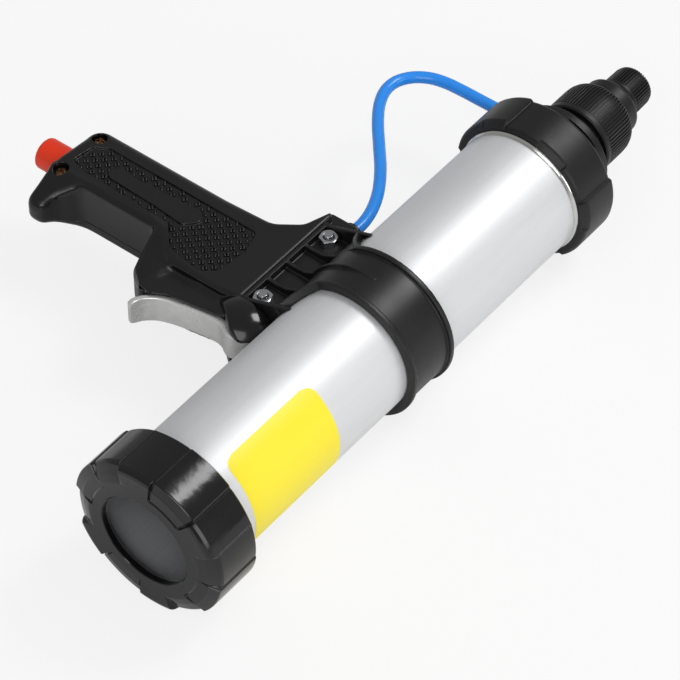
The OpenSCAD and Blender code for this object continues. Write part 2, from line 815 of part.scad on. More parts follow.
module handle_cover() {
    color(black)
        difference() {
            union() {
                intersection() {
                    handle_outside();
                    block(0, 400, leg_drop, 400, -50, parting);
                }
                mirror([0, 0, 1])
                    cheek();
            }
            post(inlet_s, handle_drop - fitting_len, handle_drop + 1, fitting_r + fit);
            sunk_panel(-handle_half - 1);
            screw_holes(parting - 4, 0, shank_d);
        }
}

module handle_screws()
    color(brass)
        for (p = screws)
            translate([-p[0], -p[1], 0])
                difference() {
                    union() {
                        translate([0, 0, parting - 4])
                            cylinder(d = shank_d, h = head_z - parting + 4);
                        translate([0, 0, head_z])
                            cylinder(d = screw_head_d, h = head_h);
                    }
                    for (a = [0, 90])
                        rotate([0, 0, a])
                            translate([-1.8, -0.4, head_z + head_h / 2])
                                cube([3.6, 0.8, 2]);
                }

// Front outline of the trigger's plate, from its root to its curled tip
function trigger_front(p) =
    [[p[0] - 6.4, p[1]], [p[0] - 4.6, p[1] + 4], [p[0] - 3.2, p[1] + 8],
     [p[0] - 3.9, p[1] + 14], [p[0] - 5.2, p[1] + 21], [p[0] - 7, p[1] + 28],
     [p[0] - 9.6, p[1] + 34], [p[0] - 13, p[1] + 38], [p[0] - 16.4, p[1] + 39.6]];

// Block as wide as the trigger whose front end at station s has corners of radius r
module rounded_end(s, r) {
    half = trigger_w / 2;
    block(s + r, s + 60, 20, 120, -half, half);
    block(s, s + r + 1, 20, 120, r - half, half - r);
    for (z = [r - half, half - r])
        translate([0, 0, z])
            post(s + r, 20, 120, r);
}

module trigger() {
    p = [-pivot[0], -pivot[1]];
    front = trigger_front(p);
    last = len(front) - 1;
    back = [for (i = [last:-1:0])
        let (t = unit(front[min(i + 1, last)] - front[max(i - 1, 0)]))
        front[i] + trigger_t * [-t[1], t[0]] * -1];
    color(zinc)
        difference() {
            union() {
                intersection() {
                    plate(concat(front, back), -trigger_w / 2, trigger_w / 2);
                    rounded_end(front[last][0] - 0.6, 4.5);
                }
                translate([pivot[0], pivot[1], -trigger_w / 2])
                    cylinder(r = 6.4, h = trigger_w);
                block(p[0] - 4, p[0] + pad_back, valve_drop - 4.5, valve_drop + 4.5,
                      -4, 4);
            }
            translate([pivot[0], pivot[1], -20])
                cylinder(d = pin_d + 2 * fit, h = 40);
        }
}

module trigger_pin()
    color(zinc)
        translate([pivot[0], pivot[1], -pin_half])
            cylinder(d = pin_d, h = 2 * pin_half);

// Turned part on the valve's axis
module on_valve_axis()
    translate([0, -valve_drop, 0])
        children();

module valve_body() {
    color(zinc)
        difference() {
            union() {
                on_valve_axis()
                    ring(valve_s, valve_back, valve_r);
                post(inlet_s, valve_drop, valve_drop + 16, pipe_bore_r - fit);
                post(outlet_s, port_top, valve_drop, 3.2);
            }
            on_valve_axis() {
                ring(valve_s - 1, valve_back, stem_r + fit);
                ring(valve_s + 2.4, valve_s + 5.4, stem_r + 1.2);
                ring(valve_s + 9, valve_back + 1, valve_r - 1.8);
            }
            post(inlet_s, valve_drop, valve_drop + 17, 2);
            post(outlet_s, port_top - 1, valve_drop - 2, 1.2);
        }
}

module valve_stem()
    color(zinc)
        on_valve_axis() {
            turned(concat([[stem_tip_s, 0]],
                          [for (i = [1:5]) let (r = stem_r * i / 5)
                              [stem_tip_s + r * r / 12, r]],
                          [[valve_s + 12, stem_r], [valve_s + 12, 0]]));
            ring(valve_s + 9.6, valve_s + 12, stem_r + 2);
        }

module stem_seal()
    color([0.1, 0.1, 0.1])
        on_valve_axis()
            ring(valve_s + 2.5, valve_s + 5.3, stem_r + 1.15, stem_r + 0.02);

module valve_spring()
    color(zinc)
        on_valve_axis()
            coil(valve_s + 12, valve_back - 3, 3.4, 0.5, 6);

module valve_cap()
    color(brass)
        on_valve_axis()
            difference() {
                union() {
                    ring(valve_back - 3, valve_back, valve_r - 1.85);
                    ring(valve_back, valve_back + 2, valve_r);
                }
                translate([-valve_back - 3, -4, -0.6])
                    cube([2, 8, 1.2]);
            }

module inlet_fitting() {
    entry = handle_drop - entry_depth;
    bore_end = entry - thread_len;
    color(zinc)
        difference() {
            post(inlet_s, handle_drop - fitting_len, handle_drop, fitting_r);
            post(inlet_s, entry, handle_drop + 1, plug_r + fit);
            post(inlet_s, bore_end, entry + 1, inlet_bore_d / 2);
            post(inlet_s, handle_drop - fitting_len - 1, bore_end + 1, pipe_r + fit);
        }
}

module inlet_pipe()
    color([0.2, 0.2, 0.22])
        post(inlet_s, valve_drop + valve_room,
             handle_drop - entry_depth - thread_len - seat, pipe_r, pipe_bore_r);

module outlet_pipe()
    color([0.2, 0.2, 0.22])
        swept(outlet_route, outlet_r, 10);

module handle_hose_fitting()
    color(black)
        translate([0, -hose_fit_d, 0])
            ring(spur_back - 4.2, hose_fit_back, hose_fit_r);

module regulator_hose_fitting()
    color(black) {
        post(port_s, 6, neck_r, 3.05);
        post(port_s, neck_r, hose_end_d, hose_fit_r);
    }

module air_hose()
    color([0.18, 0.56, 0.94])
        swept(hose_route, hose_r, 10);

module inlet_plug() {
    base = handle_drop - entry_depth + 0.2;
    tip = handle_drop + plug_show;
    color([0.94, 0.25, 0.12])
        translate([-inlet_s, 0, 0])
            rotate([90, 0, 0])
                rotate_extrude()
                    polygon([[0, base], [plug_r - 0.6, base], [plug_r, base + 0.6],
                             [plug_r, tip - 3], [plug_r - 1, tip - 1],
                             [plug_r - 3, tip], [0, tip]]);
}

front_cap();
cap_washer();
barrel_tube();
tube_collar();
ring_nut();
end_plug();
plug_o_ring();
cartridge_seal();
silencer_ring();
union_nut();
bonnet();
diaphragm();
regulator_valve();
regulator_spring();
spring_seat();
adjuster_screw();
regulator_knob();
clamp();
clamp_bolts();
clamp_nuts();
handle_body();
handle_cover();
handle_screws();
trigger();
trigger_pin();
valve_body();
valve_stem();
stem_seal();
valve_spring();
valve_cap();
inlet_fitting();
inlet_pipe();
outlet_pipe();
handle_hose_fitting();
regulator_hose_fitting();
air_hose();
inlet_plug();
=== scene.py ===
"""Looks of a hand-held pneumatic caulking tool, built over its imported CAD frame.

Lengths in the classes are millimetres in the tool's own stations: s runs backwards from
the front cap's face, d runs down from the barrel's axis to the handle's base, and z points
to the tool's right side. Meshes are written in metres at x = -s, y = -d.
"""

from __future__ import annotations

import json
import logging
import math
from dataclasses import dataclass
from enum import Enum
from functools import partial
from typing import Callable, Optional, Sequence

import bmesh
import bpy
import numpy as np
from mathutils import Matrix, Vector

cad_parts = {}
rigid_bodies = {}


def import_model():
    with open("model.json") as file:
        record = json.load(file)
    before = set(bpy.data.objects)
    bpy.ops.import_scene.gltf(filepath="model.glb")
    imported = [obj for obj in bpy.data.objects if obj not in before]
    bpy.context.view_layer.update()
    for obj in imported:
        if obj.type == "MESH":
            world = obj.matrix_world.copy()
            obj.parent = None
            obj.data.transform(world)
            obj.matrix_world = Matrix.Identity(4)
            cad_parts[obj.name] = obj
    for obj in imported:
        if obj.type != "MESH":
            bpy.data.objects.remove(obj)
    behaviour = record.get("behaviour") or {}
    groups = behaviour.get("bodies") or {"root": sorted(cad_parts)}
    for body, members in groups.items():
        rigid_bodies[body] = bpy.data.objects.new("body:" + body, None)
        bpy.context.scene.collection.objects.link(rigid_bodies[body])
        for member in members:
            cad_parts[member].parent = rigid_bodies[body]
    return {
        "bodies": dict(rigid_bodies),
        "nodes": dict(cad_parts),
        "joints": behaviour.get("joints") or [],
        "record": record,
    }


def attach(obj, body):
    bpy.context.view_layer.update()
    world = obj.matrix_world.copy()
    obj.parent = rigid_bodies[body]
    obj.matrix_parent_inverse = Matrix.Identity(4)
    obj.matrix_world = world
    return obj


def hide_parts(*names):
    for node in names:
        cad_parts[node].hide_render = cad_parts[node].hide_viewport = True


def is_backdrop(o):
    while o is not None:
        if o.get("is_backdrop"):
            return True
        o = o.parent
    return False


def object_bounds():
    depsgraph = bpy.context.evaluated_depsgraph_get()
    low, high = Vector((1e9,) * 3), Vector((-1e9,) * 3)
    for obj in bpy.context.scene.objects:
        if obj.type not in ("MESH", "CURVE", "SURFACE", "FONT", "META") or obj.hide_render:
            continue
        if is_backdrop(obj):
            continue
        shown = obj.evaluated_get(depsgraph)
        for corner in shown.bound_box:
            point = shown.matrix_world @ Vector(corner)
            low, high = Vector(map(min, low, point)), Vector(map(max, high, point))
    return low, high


log = logging.getLogger("caulking_tool")
MM = 0.001
# Depth in metres of the grain at full strength, and how far light goes into plastics
GRAIN_DEPTH = 0.0001
GLOW_DEPTH = 0.002
Points = np.ndarray
Shape = Callable[[Points, Points, Points], Points]
Outline = Sequence[tuple[float, float]]
Object = bpy.types.Object


# ---- signed distance shapes


def outline_distance(u: Points, v: Points, outline: Sequence[Sequence[float]]) -> Points:
    """Gives the signed distance in a plane to a closed outline.

    Args:
        u: First coordinate of the points.
        v: Second coordinate of the points.
        outline: Corners of the outline in order.

    Returns:
        Distances in mm, negative inside as in every shape here.
    """
    corners = np.asarray(outline, dtype=float)
    nearest = np.full(np.broadcast(u, v).shape, np.inf)
    inside = np.zeros(nearest.shape, dtype=bool)
    for a, b in zip(corners, np.roll(corners, -1, axis=0)):
        edge = b - a
        length = float(edge @ edge)
        if length < 1e-12:
            continue
        du, dv = u - a[0], v - a[1]
        along = np.clip((du * edge[0] + dv * edge[1]) / length, 0.0, 1.0)
        off = (du - along * edge[0]) ** 2 + (dv - along * edge[1]) ** 2
        nearest = np.minimum(nearest, off)
        left = edge[0] * dv > edge[1] * du
        above, below = v >= a[1], v < b[1]
        inside = inside ^ ((above & below & left) | (~above & ~below & ~left))
    reach = np.sqrt(nearest)
    return np.where(inside, -reach, reach)


def slab(u: Points, low: float, high: float) -> Points:
    """Gives the signed distance to the space between two parallel planes."""
    return np.abs(u - 0.5 * (low + high)) - 0.5 * (high - low)


def rounded(a: Points, b: Points, radius: float) -> Points:
    """Gives the common part of two shapes, its new edge rounded by radius mm."""
    out = np.hypot(np.maximum(a + radius, 0.0), np.maximum(b + radius, 0.0))
    return np.minimum(np.maximum(a, b), -radius) + out


def blended(a: Points, b: Points, radius: float) -> Points:
    """Gives two shapes joined with a fillet of radius mm between them."""
    near = np.maximum(radius - np.abs(a - b), 0.0) / radius
    return np.minimum(a, b) - near * near * near * radius / 6.0


def carved(a: Points, b: Points, radius: float) -> Points:
    """Takes shape b out of shape a and softens the edge of the cut by radius mm."""
    return -blended(-a, b, radius)


def filleted(corners: Sequence[tuple[float, float, float]], steps: int = 7) -> list:
    """Turns corners with radii into the points of an outline.

    Args:
        corners: Each corner's two coordinates and the radius that rounds it.
        steps: Steps of each arc.

    Returns:
        Points of the closed outline.
    """
    points = []
    count = len(corners)
    for i in range(count):
        before = np.array(corners[i - 1][:2], dtype=float)
        here = np.array(corners[i][:2], dtype=float)
        after = np.array(corners[(i + 1) % count][:2], dtype=float)
        radius = corners[i][2]
        a, b = before - here, after - here
        la, lb = np.linalg.norm(a), np.linalg.norm(b)
        if radius <= 0 or la < 1e-9 or lb < 1e-9:
            points.append(tuple(here))
            continue
        a, b = a / la, b / lb
        half = math.acos(max(-1.0, min(1.0, float(a @ b)))) / 2
        reach = min(radius / math.tan(half), 0.49 * la, 0.49 * lb)
        start, end = here + a * reach, here + b * reach
        real = reach * math.tan(half)
        centre = here + (a + b) / np.linalg.norm(a + b) * real / math.sin(half)
        first = math.atan2(*(start - centre)[::-1])
        turn = math.atan2(*(end - centre)[::-1]) - first
        turn = (turn + math.pi) % (2 * math.pi) - math.pi
        for k in range(steps + 1):
            angle = first + turn * k / steps
            out = np.array((math.cos(angle), math.sin(angle)))
            points.append(tuple(centre + real * out))
    return points


def plan_of(u: Points, v: Points, *corners: tuple[float, float, float]) -> Points:
    """Gives the distance in a plane to an outline of corners with radii."""
    return outline_distance(u, v, filleted(corners))


@dataclass(frozen=True)
class Box:
    """Room in which a shape is meshed, in mm along s, d and z."""

    low: tuple[float, float, float]
    high: tuple[float, float, float]

    def axis(self, i: int, cell: float) -> Points:
        """Gives the grid stations along one axis for a cell size in mm."""
        return np.arange(self.low[i] - 2 * cell, self.high[i] + 2 * cell, cell)


def net_cells(values: Points) -> tuple[Points, Points]:
    """Finds the cells that a surface passes through.

    Args:
        values: Distances at the grid's corners.

    Returns:
        The number of each cell's vertex, or -1, and the vertices in grid units.
    """
    inside = values < 0
    count = sum(
        inside[i : i - 1 or None, j : j - 1 or None, k : k - 1 or None].astype(np.int8)
        for i in (0, 1)
        for j in (0, 1)
        for k in (0, 1)
    )
    mixed = (count > 0) & (count < 8)
    number = np.full(mixed.shape, -1, dtype=np.int64)
    cells = np.argwhere(mixed)
    number[mixed] = np.arange(len(cells))
    total = np.zeros((len(cells), 3))
    hits = np.zeros(len(cells))
    for axis in range(3):
        others = [a for a in range(3) if a != axis]
        for p in (0, 1):
            for q in (0, 1):
                start = cells.copy()
                start[:, others[0]] += p
                start[:, others[1]] += q
                end = start.copy()
                end[:, axis] += 1
                a, b = values[tuple(start.T)], values[tuple(end.T)]
                cross = (a < 0) != (b < 0)
                share = np.where(cross, a / np.where(cross, a - b, 1.0), 0.0)
                place = start.astype(float)
                place[:, axis] += share
                total[cross] += place[cross]
                hits[cross] += 1
    return number, total / hits[:, None]


def net_faces(values: Points, number: Points) -> Points:
    """Joins the cells' vertices round every grid edge that the surface crosses.

    Args:
        values: Distances at the grid's corners.
        number: The number of each cell's vertex.

    Returns:
        Corners of the four-sided faces, turned outwards.
    """
    inside = values < 0
    faces = []
    for axis in range(3):
        u, v = (axis + 1) % 3, (axis + 2) % 3
        near = np.take(inside, range(0, inside.shape[axis] - 1), axis)
        far = np.take(inside, range(1, inside.shape[axis]), axis)
        edges = np.argwhere(near != far)
        keep = (edges[:, u] > 0) & (edges[:, v] > 0)
        keep &= (edges[:, u] < inside.shape[u] - 1) & (edges[:, v] < inside.shape[v] - 1)
        edges = edges[keep]
        ring = []
        for du, dv in ((1, 1), (0, 1), (0, 0), (1, 0)):
            cell = edges.copy()
            cell[:, u] -= du
            cell[:, v] -= dv
            ring.append(number[tuple(cell.T)])
        quad = np.stack(ring, axis=1)
        outward = near[tuple(edges.T)]
        quad[~outward] = quad[~outward][:, ::-1]
        faces.append(quad)
    return np.concatenate(faces)


def slope(shape: Shape, at: Points, step: float) -> Points:
    """Gives the direction in which a shape's distance grows at some points.

    Args:
        shape: Distance as a function of s, d and z.
        at: Places of the points.
        step: Distance to both sides in mm.

    Returns:
        A vector for every point.
    """
    parts = []
    for axis in range(3):
        move = np.zeros(3)
        move[axis] = step
        parts.append(shape(*(at + move).T) - shape(*(at - move).T))
    return np.stack(parts, axis=1) / (2 * step)


def mesh_of(name: str, shape: Shape, room: Box, cell: float) -> Object:
    """Meshes a signed distance shape.

    Args:
        name: Name of the new object.
        shape: Distance as a function of s, d and z in mm.
        room: Box that holds the shape.
        cell: Cell size in mm.

    Returns:
        The new object, its mesh in metres at the object's place.
    """
    axes = [room.axis(i, cell) for i in range(3)]
    values = shape(*np.meshgrid(*axes, indexing="ij", sparse=True))
    values = np.broadcast_to(values, [len(a) for a in axes])
    number, vertices = net_cells(values)
    faces = net_faces(values, number)
    at = np.stack([axes[i][0] + cell * vertices[:, i] for i in range(3)], axis=1)
    for _ in range(3):
        grow = slope(shape, at, 0.05)
        size = np.maximum((grow**2).sum(axis=1, keepdims=True), 0.3)
        move = -shape(*at.T)[:, None] * grow / size
        at = at + np.clip(move, -0.5 * cell, 0.5 * cell)
    normals = slope(shape, at, 0.12)
    normals /= np.maximum(np.linalg.norm(normals, axis=1, keepdims=True), 1e-6)
    turned = np.array([-1.0, -1.0, 1.0])
    return new_mesh(name, at * turned, faces, normals * turned)


def linked(name: str, data: bpy.types.ID) -> Object:
    """Makes an object from its data and links it into the scene.

    Args:
        name: Name of the object.
        data: Its mesh, camera or lamp.

    Returns:
        The object.
    """
    piece = bpy.data.objects.new(name, data)
    bpy.context.collection.objects.link(piece)
    return piece


def new_mesh(
    name: str,
    points_mm: Points,
    faces: Sequence[Sequence[int]],
    normals: Optional[Points] = None,
) -> Object:
    """Makes an object from points in mm of the part's frame.

    Args:
        name: Name of the object.
        points_mm: Places of the vertices in mm.
        faces: Corners of each face.
        normals: Direction of the surface at each vertex, if it is known.

    Returns:
        The linked object with smooth shading.
    """
    mesh = bpy.data.meshes.new(name)
    corners = faces.tolist() if isinstance(faces, np.ndarray) else list(faces)
    mesh.from_pydata((np.asarray(points_mm) * MM).tolist(), [], corners)
    mesh.update()
    mesh.shade_smooth()
    if normals is not None:
        mesh.normals_split_custom_set_from_vertices(np.asarray(normals).tolist())
    return linked(name, mesh)


def supported(outline: Outline) -> Outline:
    """Adds a point near both ends of each side, so that shading stays flat between.

    Args:
        outline: Corners of a closed outline.

    Returns:
        Three points for every corner.
    """
    points = []
    for i, here in enumerate(outline):
        ahead = outline[(i + 1) % len(outline)]
        share = min(0.3, 0.25 / max(math.dist(here, ahead), 1e-6))
        points.append(tuple(here))
        for part in (share, 1 - share):
            points.append(tuple(a + (b - a) * part for a, b in zip(here, ahead)))
    return points


def ring_of(
    name: str,
    outline_at: Callable[[float], Outline],
    angles: Sequence[float],
    centre: Sequence[float] = (0.0, 0.0, 0.0),
    down: bool = False,
    crease: float = 30.0,
) -> Object:
    """Builds a ring whose closed outline may change with the angle round its axis.

    Args:
        name: Name of the object.
        outline_at: Outline at an angle in degrees: stations along the axis and radii.
        angles: Angles of the outlines, from +Y towards +Z.
        centre: Place of the axis: x, y and z in mm of the part's frame.
        down: True for an axis along -Y, false for one along -X.
        crease: Angle in degrees past which an edge stays sharp.

    Returns:
        The linked object.
    """
    mesh = bmesh.new()
    rings = []
    for angle in sorted(angles):
        turn = math.radians(angle)
        ring = []
        for station, radius in supported(outline_at(angle)):
            u, v = radius * math.cos(turn), radius * math.sin(turn)
            place = (u, -station, v) if down else (-station, u, v)
            ring.append(mesh.verts.new([(p + c) * MM for p, c in zip(place, centre)]))
        rings.append(ring)
    for near, far in zip(rings, rings[1:] + rings[:1]):
        for k in range(len(near)):
            mesh.faces.new((near[k - 1], near[k], far[k], far[k - 1]))
    bmesh.ops.remove_doubles(mesh, verts=mesh.verts[:], dist=1e-6)
    bmesh.ops.dissolve_degenerate(mesh, edges=mesh.edges[:], dist=1e-6)
    bmesh.ops.recalc_face_normals(mesh, faces=mesh.faces[:])
    return finished(name, mesh, crease)


def angles_for(step: float, *close_to: tuple) -> list[float]:
    """Gives the angles of a ring's outlines, closer together where the form changes.

    Args:
        step: Distance in degrees where the form doesn't change.
        close_to: Groups of angles, how far to refine on both sides, and in what steps.

    Returns:
        Angles in degrees in rising order.
    """
    angles = [np.arange(0, 360, step)]
    for middles, reach, fine in close_to:
        angles += [middle + np.arange(-reach, reach + 0.01, fine) for middle in middles]
    return np.unique(np.round(np.concatenate(angles) % 360, 3)).tolist()


def finished(name: str, mesh: bmesh.types.BMesh, crease: float) -> Object:
    """Makes a smooth-shaded object with sharp creases from a bmesh and frees that.

    Args:
        name: Name of the object.
        mesh: The finished bmesh.
        crease: Angle in degrees past which an edge stays sharp.

    Returns:
        The linked object.
    """
    data = bpy.data.meshes.new(name)
    mesh.to_mesh(data)
    mesh.free()
    data.shade_smooth()
    data.set_sharp_from_angle(angle=math.radians(crease))
    return linked(name, data)


def revolved(
    name: str,
    outline: Outline,
    centre: Sequence[float] = (0.0, 0.0, 0.0),
    down: bool = False,
    steps: int = 128,
) -> Object:
    """Turns a closed outline of stations and radii round an axis, as ring_of does."""
    turns = [360.0 * k / steps for k in range(steps)]
    return ring_of(name, lambda angle: outline, turns, centre, down)


def bar(name: str, route: Sequence[tuple], width: float, height: float) -> Object:
    """Builds one raised rib that runs along the barrel's axis at its top.

    Args:
        name: Name of the object.
        route: Station, radius of the rib's crest and share of its full height.
        width: Width at the rib's foot in mm.
        height: Full height in mm.

    Returns:
        The linked object.
    """
    half = [(-0.5, -0.25), (-0.48, 0.5), (-0.42, 0.82), (-0.28, 1.0)]
    section = half + [(-t, h) for t, h in reversed(half)]
    mesh = bmesh.new()
    rows = []
    for s, r, share in route:
        places = [(-s, r - height + height * h * share, t * width) for t, h in section]
        rows.append([mesh.verts.new([p * MM for p in place]) for place in places])
    for near, far in zip(rows, rows[1:]):
        for k in range(len(near) - 1):
            mesh.faces.new((near[k], near[k + 1], far[k + 1], far[k]))
    mesh.faces.new(rows[0])
    mesh.faces.new(rows[-1])
    bmesh.ops.recalc_face_normals(mesh, faces=mesh.faces[:])
    return finished(name, mesh, 40.0)


def joined(name: str, pieces: Sequence[Object]) -> Object:
    """Joins pieces into one smooth-shaded object and removes them.

    Args:
        name: Name of the new object.
        pieces: Objects with meshes.

    Returns:
        The linked object.
    """
    mesh = bmesh.new()
    for piece in pieces:
        mesh.from_mesh(piece.data)
        bpy.data.objects.remove(piece)
    return finished(name, mesh, 32.0)


class Copies:
    """Geometry Nodes that put turned copies of one mesh on points."""

    def __init__(self) -> None:
        """Builds the tree with its named inputs."""
        tree = bpy.data.node_groups.new("copies_on_points", "GeometryNodeTree")
        self.tree = tree
        kinds = {
            "Points": "Geometry", "Copy": "Object", "Size": "Float", "Spread": "Float",
            "Seed": "Int", "Finish": "Material",
        }
        self.keys = {
            name: tree.interface.new_socket(
                name, in_out="INPUT", socket_type="NodeSocket" + kind
            ).identifier
            for name, kind in kinds.items()
        }
        tree.interface.new_socket(
            "Result", in_out="OUTPUT", socket_type="NodeSocketGeometry"
        )
        given = add_node(tree, "NodeGroupInput").outputs
        least, most = (
            add_node(
                tree, "ShaderNodeMath", {"operation": kind},
                {0: given["Size"], 1: given["Spread"]},
            ).outputs[0]
            for kind in ("SUBTRACT", "ADD")
        )
        size = add_node(
            tree, "FunctionNodeRandomValue", {"data_type": "FLOAT"},
            {2: least, 3: most, "Seed": given["Seed"]},
        )
        turn = add_node(
            tree, "GeometryNodeInputNamedAttribute", {"data_type": "FLOAT_VECTOR"},
            {"Name": "turn"},
        )
        copy = add_node(
            tree, "GeometryNodeObjectInfo", {"transform_space": "ORIGINAL"},
            {"Object": given["Copy"], "As Instance": True},
        )
        placed = add_node(
            tree, "GeometryNodeInstanceOnPoints",
            inputs={
                "Points": given["Points"], "Instance": copy.outputs["Geometry"],
                "Rotation": turn.outputs[0], "Scale": size.outputs[1],
            },
        )
        real = add_node(
            tree, "GeometryNodeRealizeInstances", inputs={0: placed.outputs[0]}
        )
        dressed = add_node(
            tree, "GeometryNodeSetMaterial",
            inputs={"Geometry": real.outputs[0], "Material": given["Finish"]},
        )
        add_node(tree, "NodeGroupOutput", inputs={"Result": dressed.outputs[0]})

    def run(
        self,
        name: str,
        copy: Object,
        places: Points,
        turns: Points,
        finish: str,
        spread: float = 0.0,
    ) -> Object:
        """Places the copies and turns them into one plain mesh.

        Args:
            name: Name of the new object.
            copy: Object whose mesh is repeated; it is removed afterwards.
            places: Place of each copy in mm.
            turns: Euler angles of each copy in radians.
            finish: Name of the copies' finish.
            spread: Largest share by which a copy's size may differ.

        Returns:
            The linked object.
        """
        points = bpy.data.meshes.new(name + "_points")
        points.from_pydata((np.asarray(places) * MM).tolist(), [], [])
        kept = points.attributes.new("turn", "FLOAT_VECTOR", "POINT")
        kept.data.foreach_set("vector", np.asarray(turns, dtype=float).ravel())
        holder = linked(name + "_points", points)
        step = holder.modifiers.new("copies", "NODES")
        step.node_group = self.tree
        values = {"Copy": copy, "Size": 1.0, "Spread": spread, "Seed": 7}
        values["Finish"] = FINISHES[finish].build()
        for key, value in values.items():
            step[self.keys[key]] = value
        graph = bpy.context.evaluated_depsgraph_get()
        data = bpy.data.meshes.new_from_object(holder.evaluated_get(graph))
        holder.modifiers.clear()
        bpy.data.objects.remove(holder)
        bpy.data.objects.remove(copy)
        data.name = name
        return linked(name, data)

    def round_axis(self, name: str, rib: Object, count: int, finish: str) -> Object:
        """Repeats a rib evenly round the barrel's axis.

        Args:
            name: Name of the new object.
            rib: The rib at the barrel's top.
            count: Number of ribs.
            finish: Name of the ribs' finish.

        Returns:
            The linked object.
        """
        turns = np.zeros((count, 3))
        turns[:, 0] = 2 * math.pi * np.arange(count) / count
        return self.run(name, rib, np.zeros((count, 3)), turns, finish)


# ---- finishes


def linear(code: str) -> tuple[float, ...]:
    """Turns an sRGB hex value such as #20242A into Blender's linear colour.

    Args:
        code: The hex value.

    Returns:
        Red, green, blue and 1.
    """
    values = [int(code[i : i + 2], 16) / 255 for i in (1, 3, 5)]
    values = [v / 12.92 if v <= 0.04045 else ((v + 0.055) / 1.055) ** 2.4 for v in values]
    return (*values, 1.0)


def add_node(
    tree: bpy.types.NodeTree,
    kind: str,
    settings: Optional[dict] = None,
    inputs: Optional[dict] = None,
) -> bpy.types.Node:
    """Adds a node with its settings, values and links.

    Args:
        tree: Node tree that gets the node.
        kind: Blender's name of the node's type.
        settings: Attributes of the node.
        inputs: For each input, by name or number, its value or the socket that feeds it.

    Returns:
        The new node.
    """
    node = tree.nodes.new(kind)
    for name, value in (settings or {}).items():
        setattr(node, name, value)
    for name, value in (inputs or {}).items():
        if isinstance(value, bpy.types.NodeSocket):
            tree.links.new(value, node.inputs[name])
        else:
            node.inputs[name].default_value = value
    return node


class Axis(Enum):
    """Direction in which a finish is drawn out."""

    ALONG = (1.0, 12.0, 12.0)
    EVEN = (1.0, 1.0, 1.0)


@dataclass(frozen=True)
class Finish:
    """One real material and how its surface was made."""

    name: str
    colour: str
    second: str
    roughness: float
    metallic: float = 0.0
    ior: float = 1.5
    grain_mm: float = 0.4
    bump: float = 0.0
    rough_spread: float = 0.0
    patch_mm: float = 25.0
    drawn: Axis = Axis.EVEN
    subsurface: float = 0.0

    def build(self) -> bpy.types.Material:
        """Builds the material's nodes.

        Returns:
            The material, reused if it was built before.
        """
        made = bpy.data.materials.get(self.name)
        if made:
            return made
        made = bpy.data.materials.new(self.name)
        made.use_nodes = True
        made.diffuse_color = linear(self.colour)
        tree = made.node_tree
        shader = tree.nodes["Principled BSDF"]
        shader.inputs["Metallic"].default_value = self.metallic
        if self.metallic < 0.5:
            shader.inputs["IOR"].default_value = self.ior
        shader.inputs["Subsurface Weight"].default_value = self.subsurface
        shader.inputs["Subsurface Scale"].default_value = GLOW_DEPTH
        place = add_node(tree, "ShaderNodeTexCoord").outputs["Object"]
        place = add_node(
            tree, "ShaderNodeMapping", inputs={"Vector": place, "Scale": self.drawn.value}
        ).outputs["Vector"]

        def noise(size_mm: float, detail: float) -> bpy.types.NodeSocket:
            """Adds a noise whose waves have a size in mm."""
            given = {"Vector": place, "Scale": 1 / (size_mm * MM), "Detail": detail}
            return add_node(tree, "ShaderNodeTexNoise", inputs=given).outputs["Fac"]

        patches = noise(self.patch_mm, 3.0)
        tint = add_node(
            tree, "ShaderNodeMix", {"data_type": "RGBA"},
            {"Factor": patches, "A": linear(self.colour), "B": linear(self.second)},
        ).outputs["Result"]
        tree.links.new(tint, shader.inputs["Base Color"])
        worn = add_node(
            tree, "ShaderNodeMapRange",
            inputs={
                "Value": patches, "From Min": 0.3, "From Max": 0.7,
                "To Min": max(0.02, self.roughness - self.rough_spread),
                "To Max": self.roughness + self.rough_spread,
            },
        ).outputs["Result"]
        tree.links.new(worn, shader.inputs["Roughness"])
        if self.bump:
            grain = noise(self.grain_mm, 2.0)
            raised = add_node(
                tree, "ShaderNodeBump",
                inputs={"Height": grain, "Strength": self.bump, "Distance": GRAIN_DEPTH},
            ).outputs["Normal"]
            tree.links.new(raised, shader.inputs["Normal"])
        return made


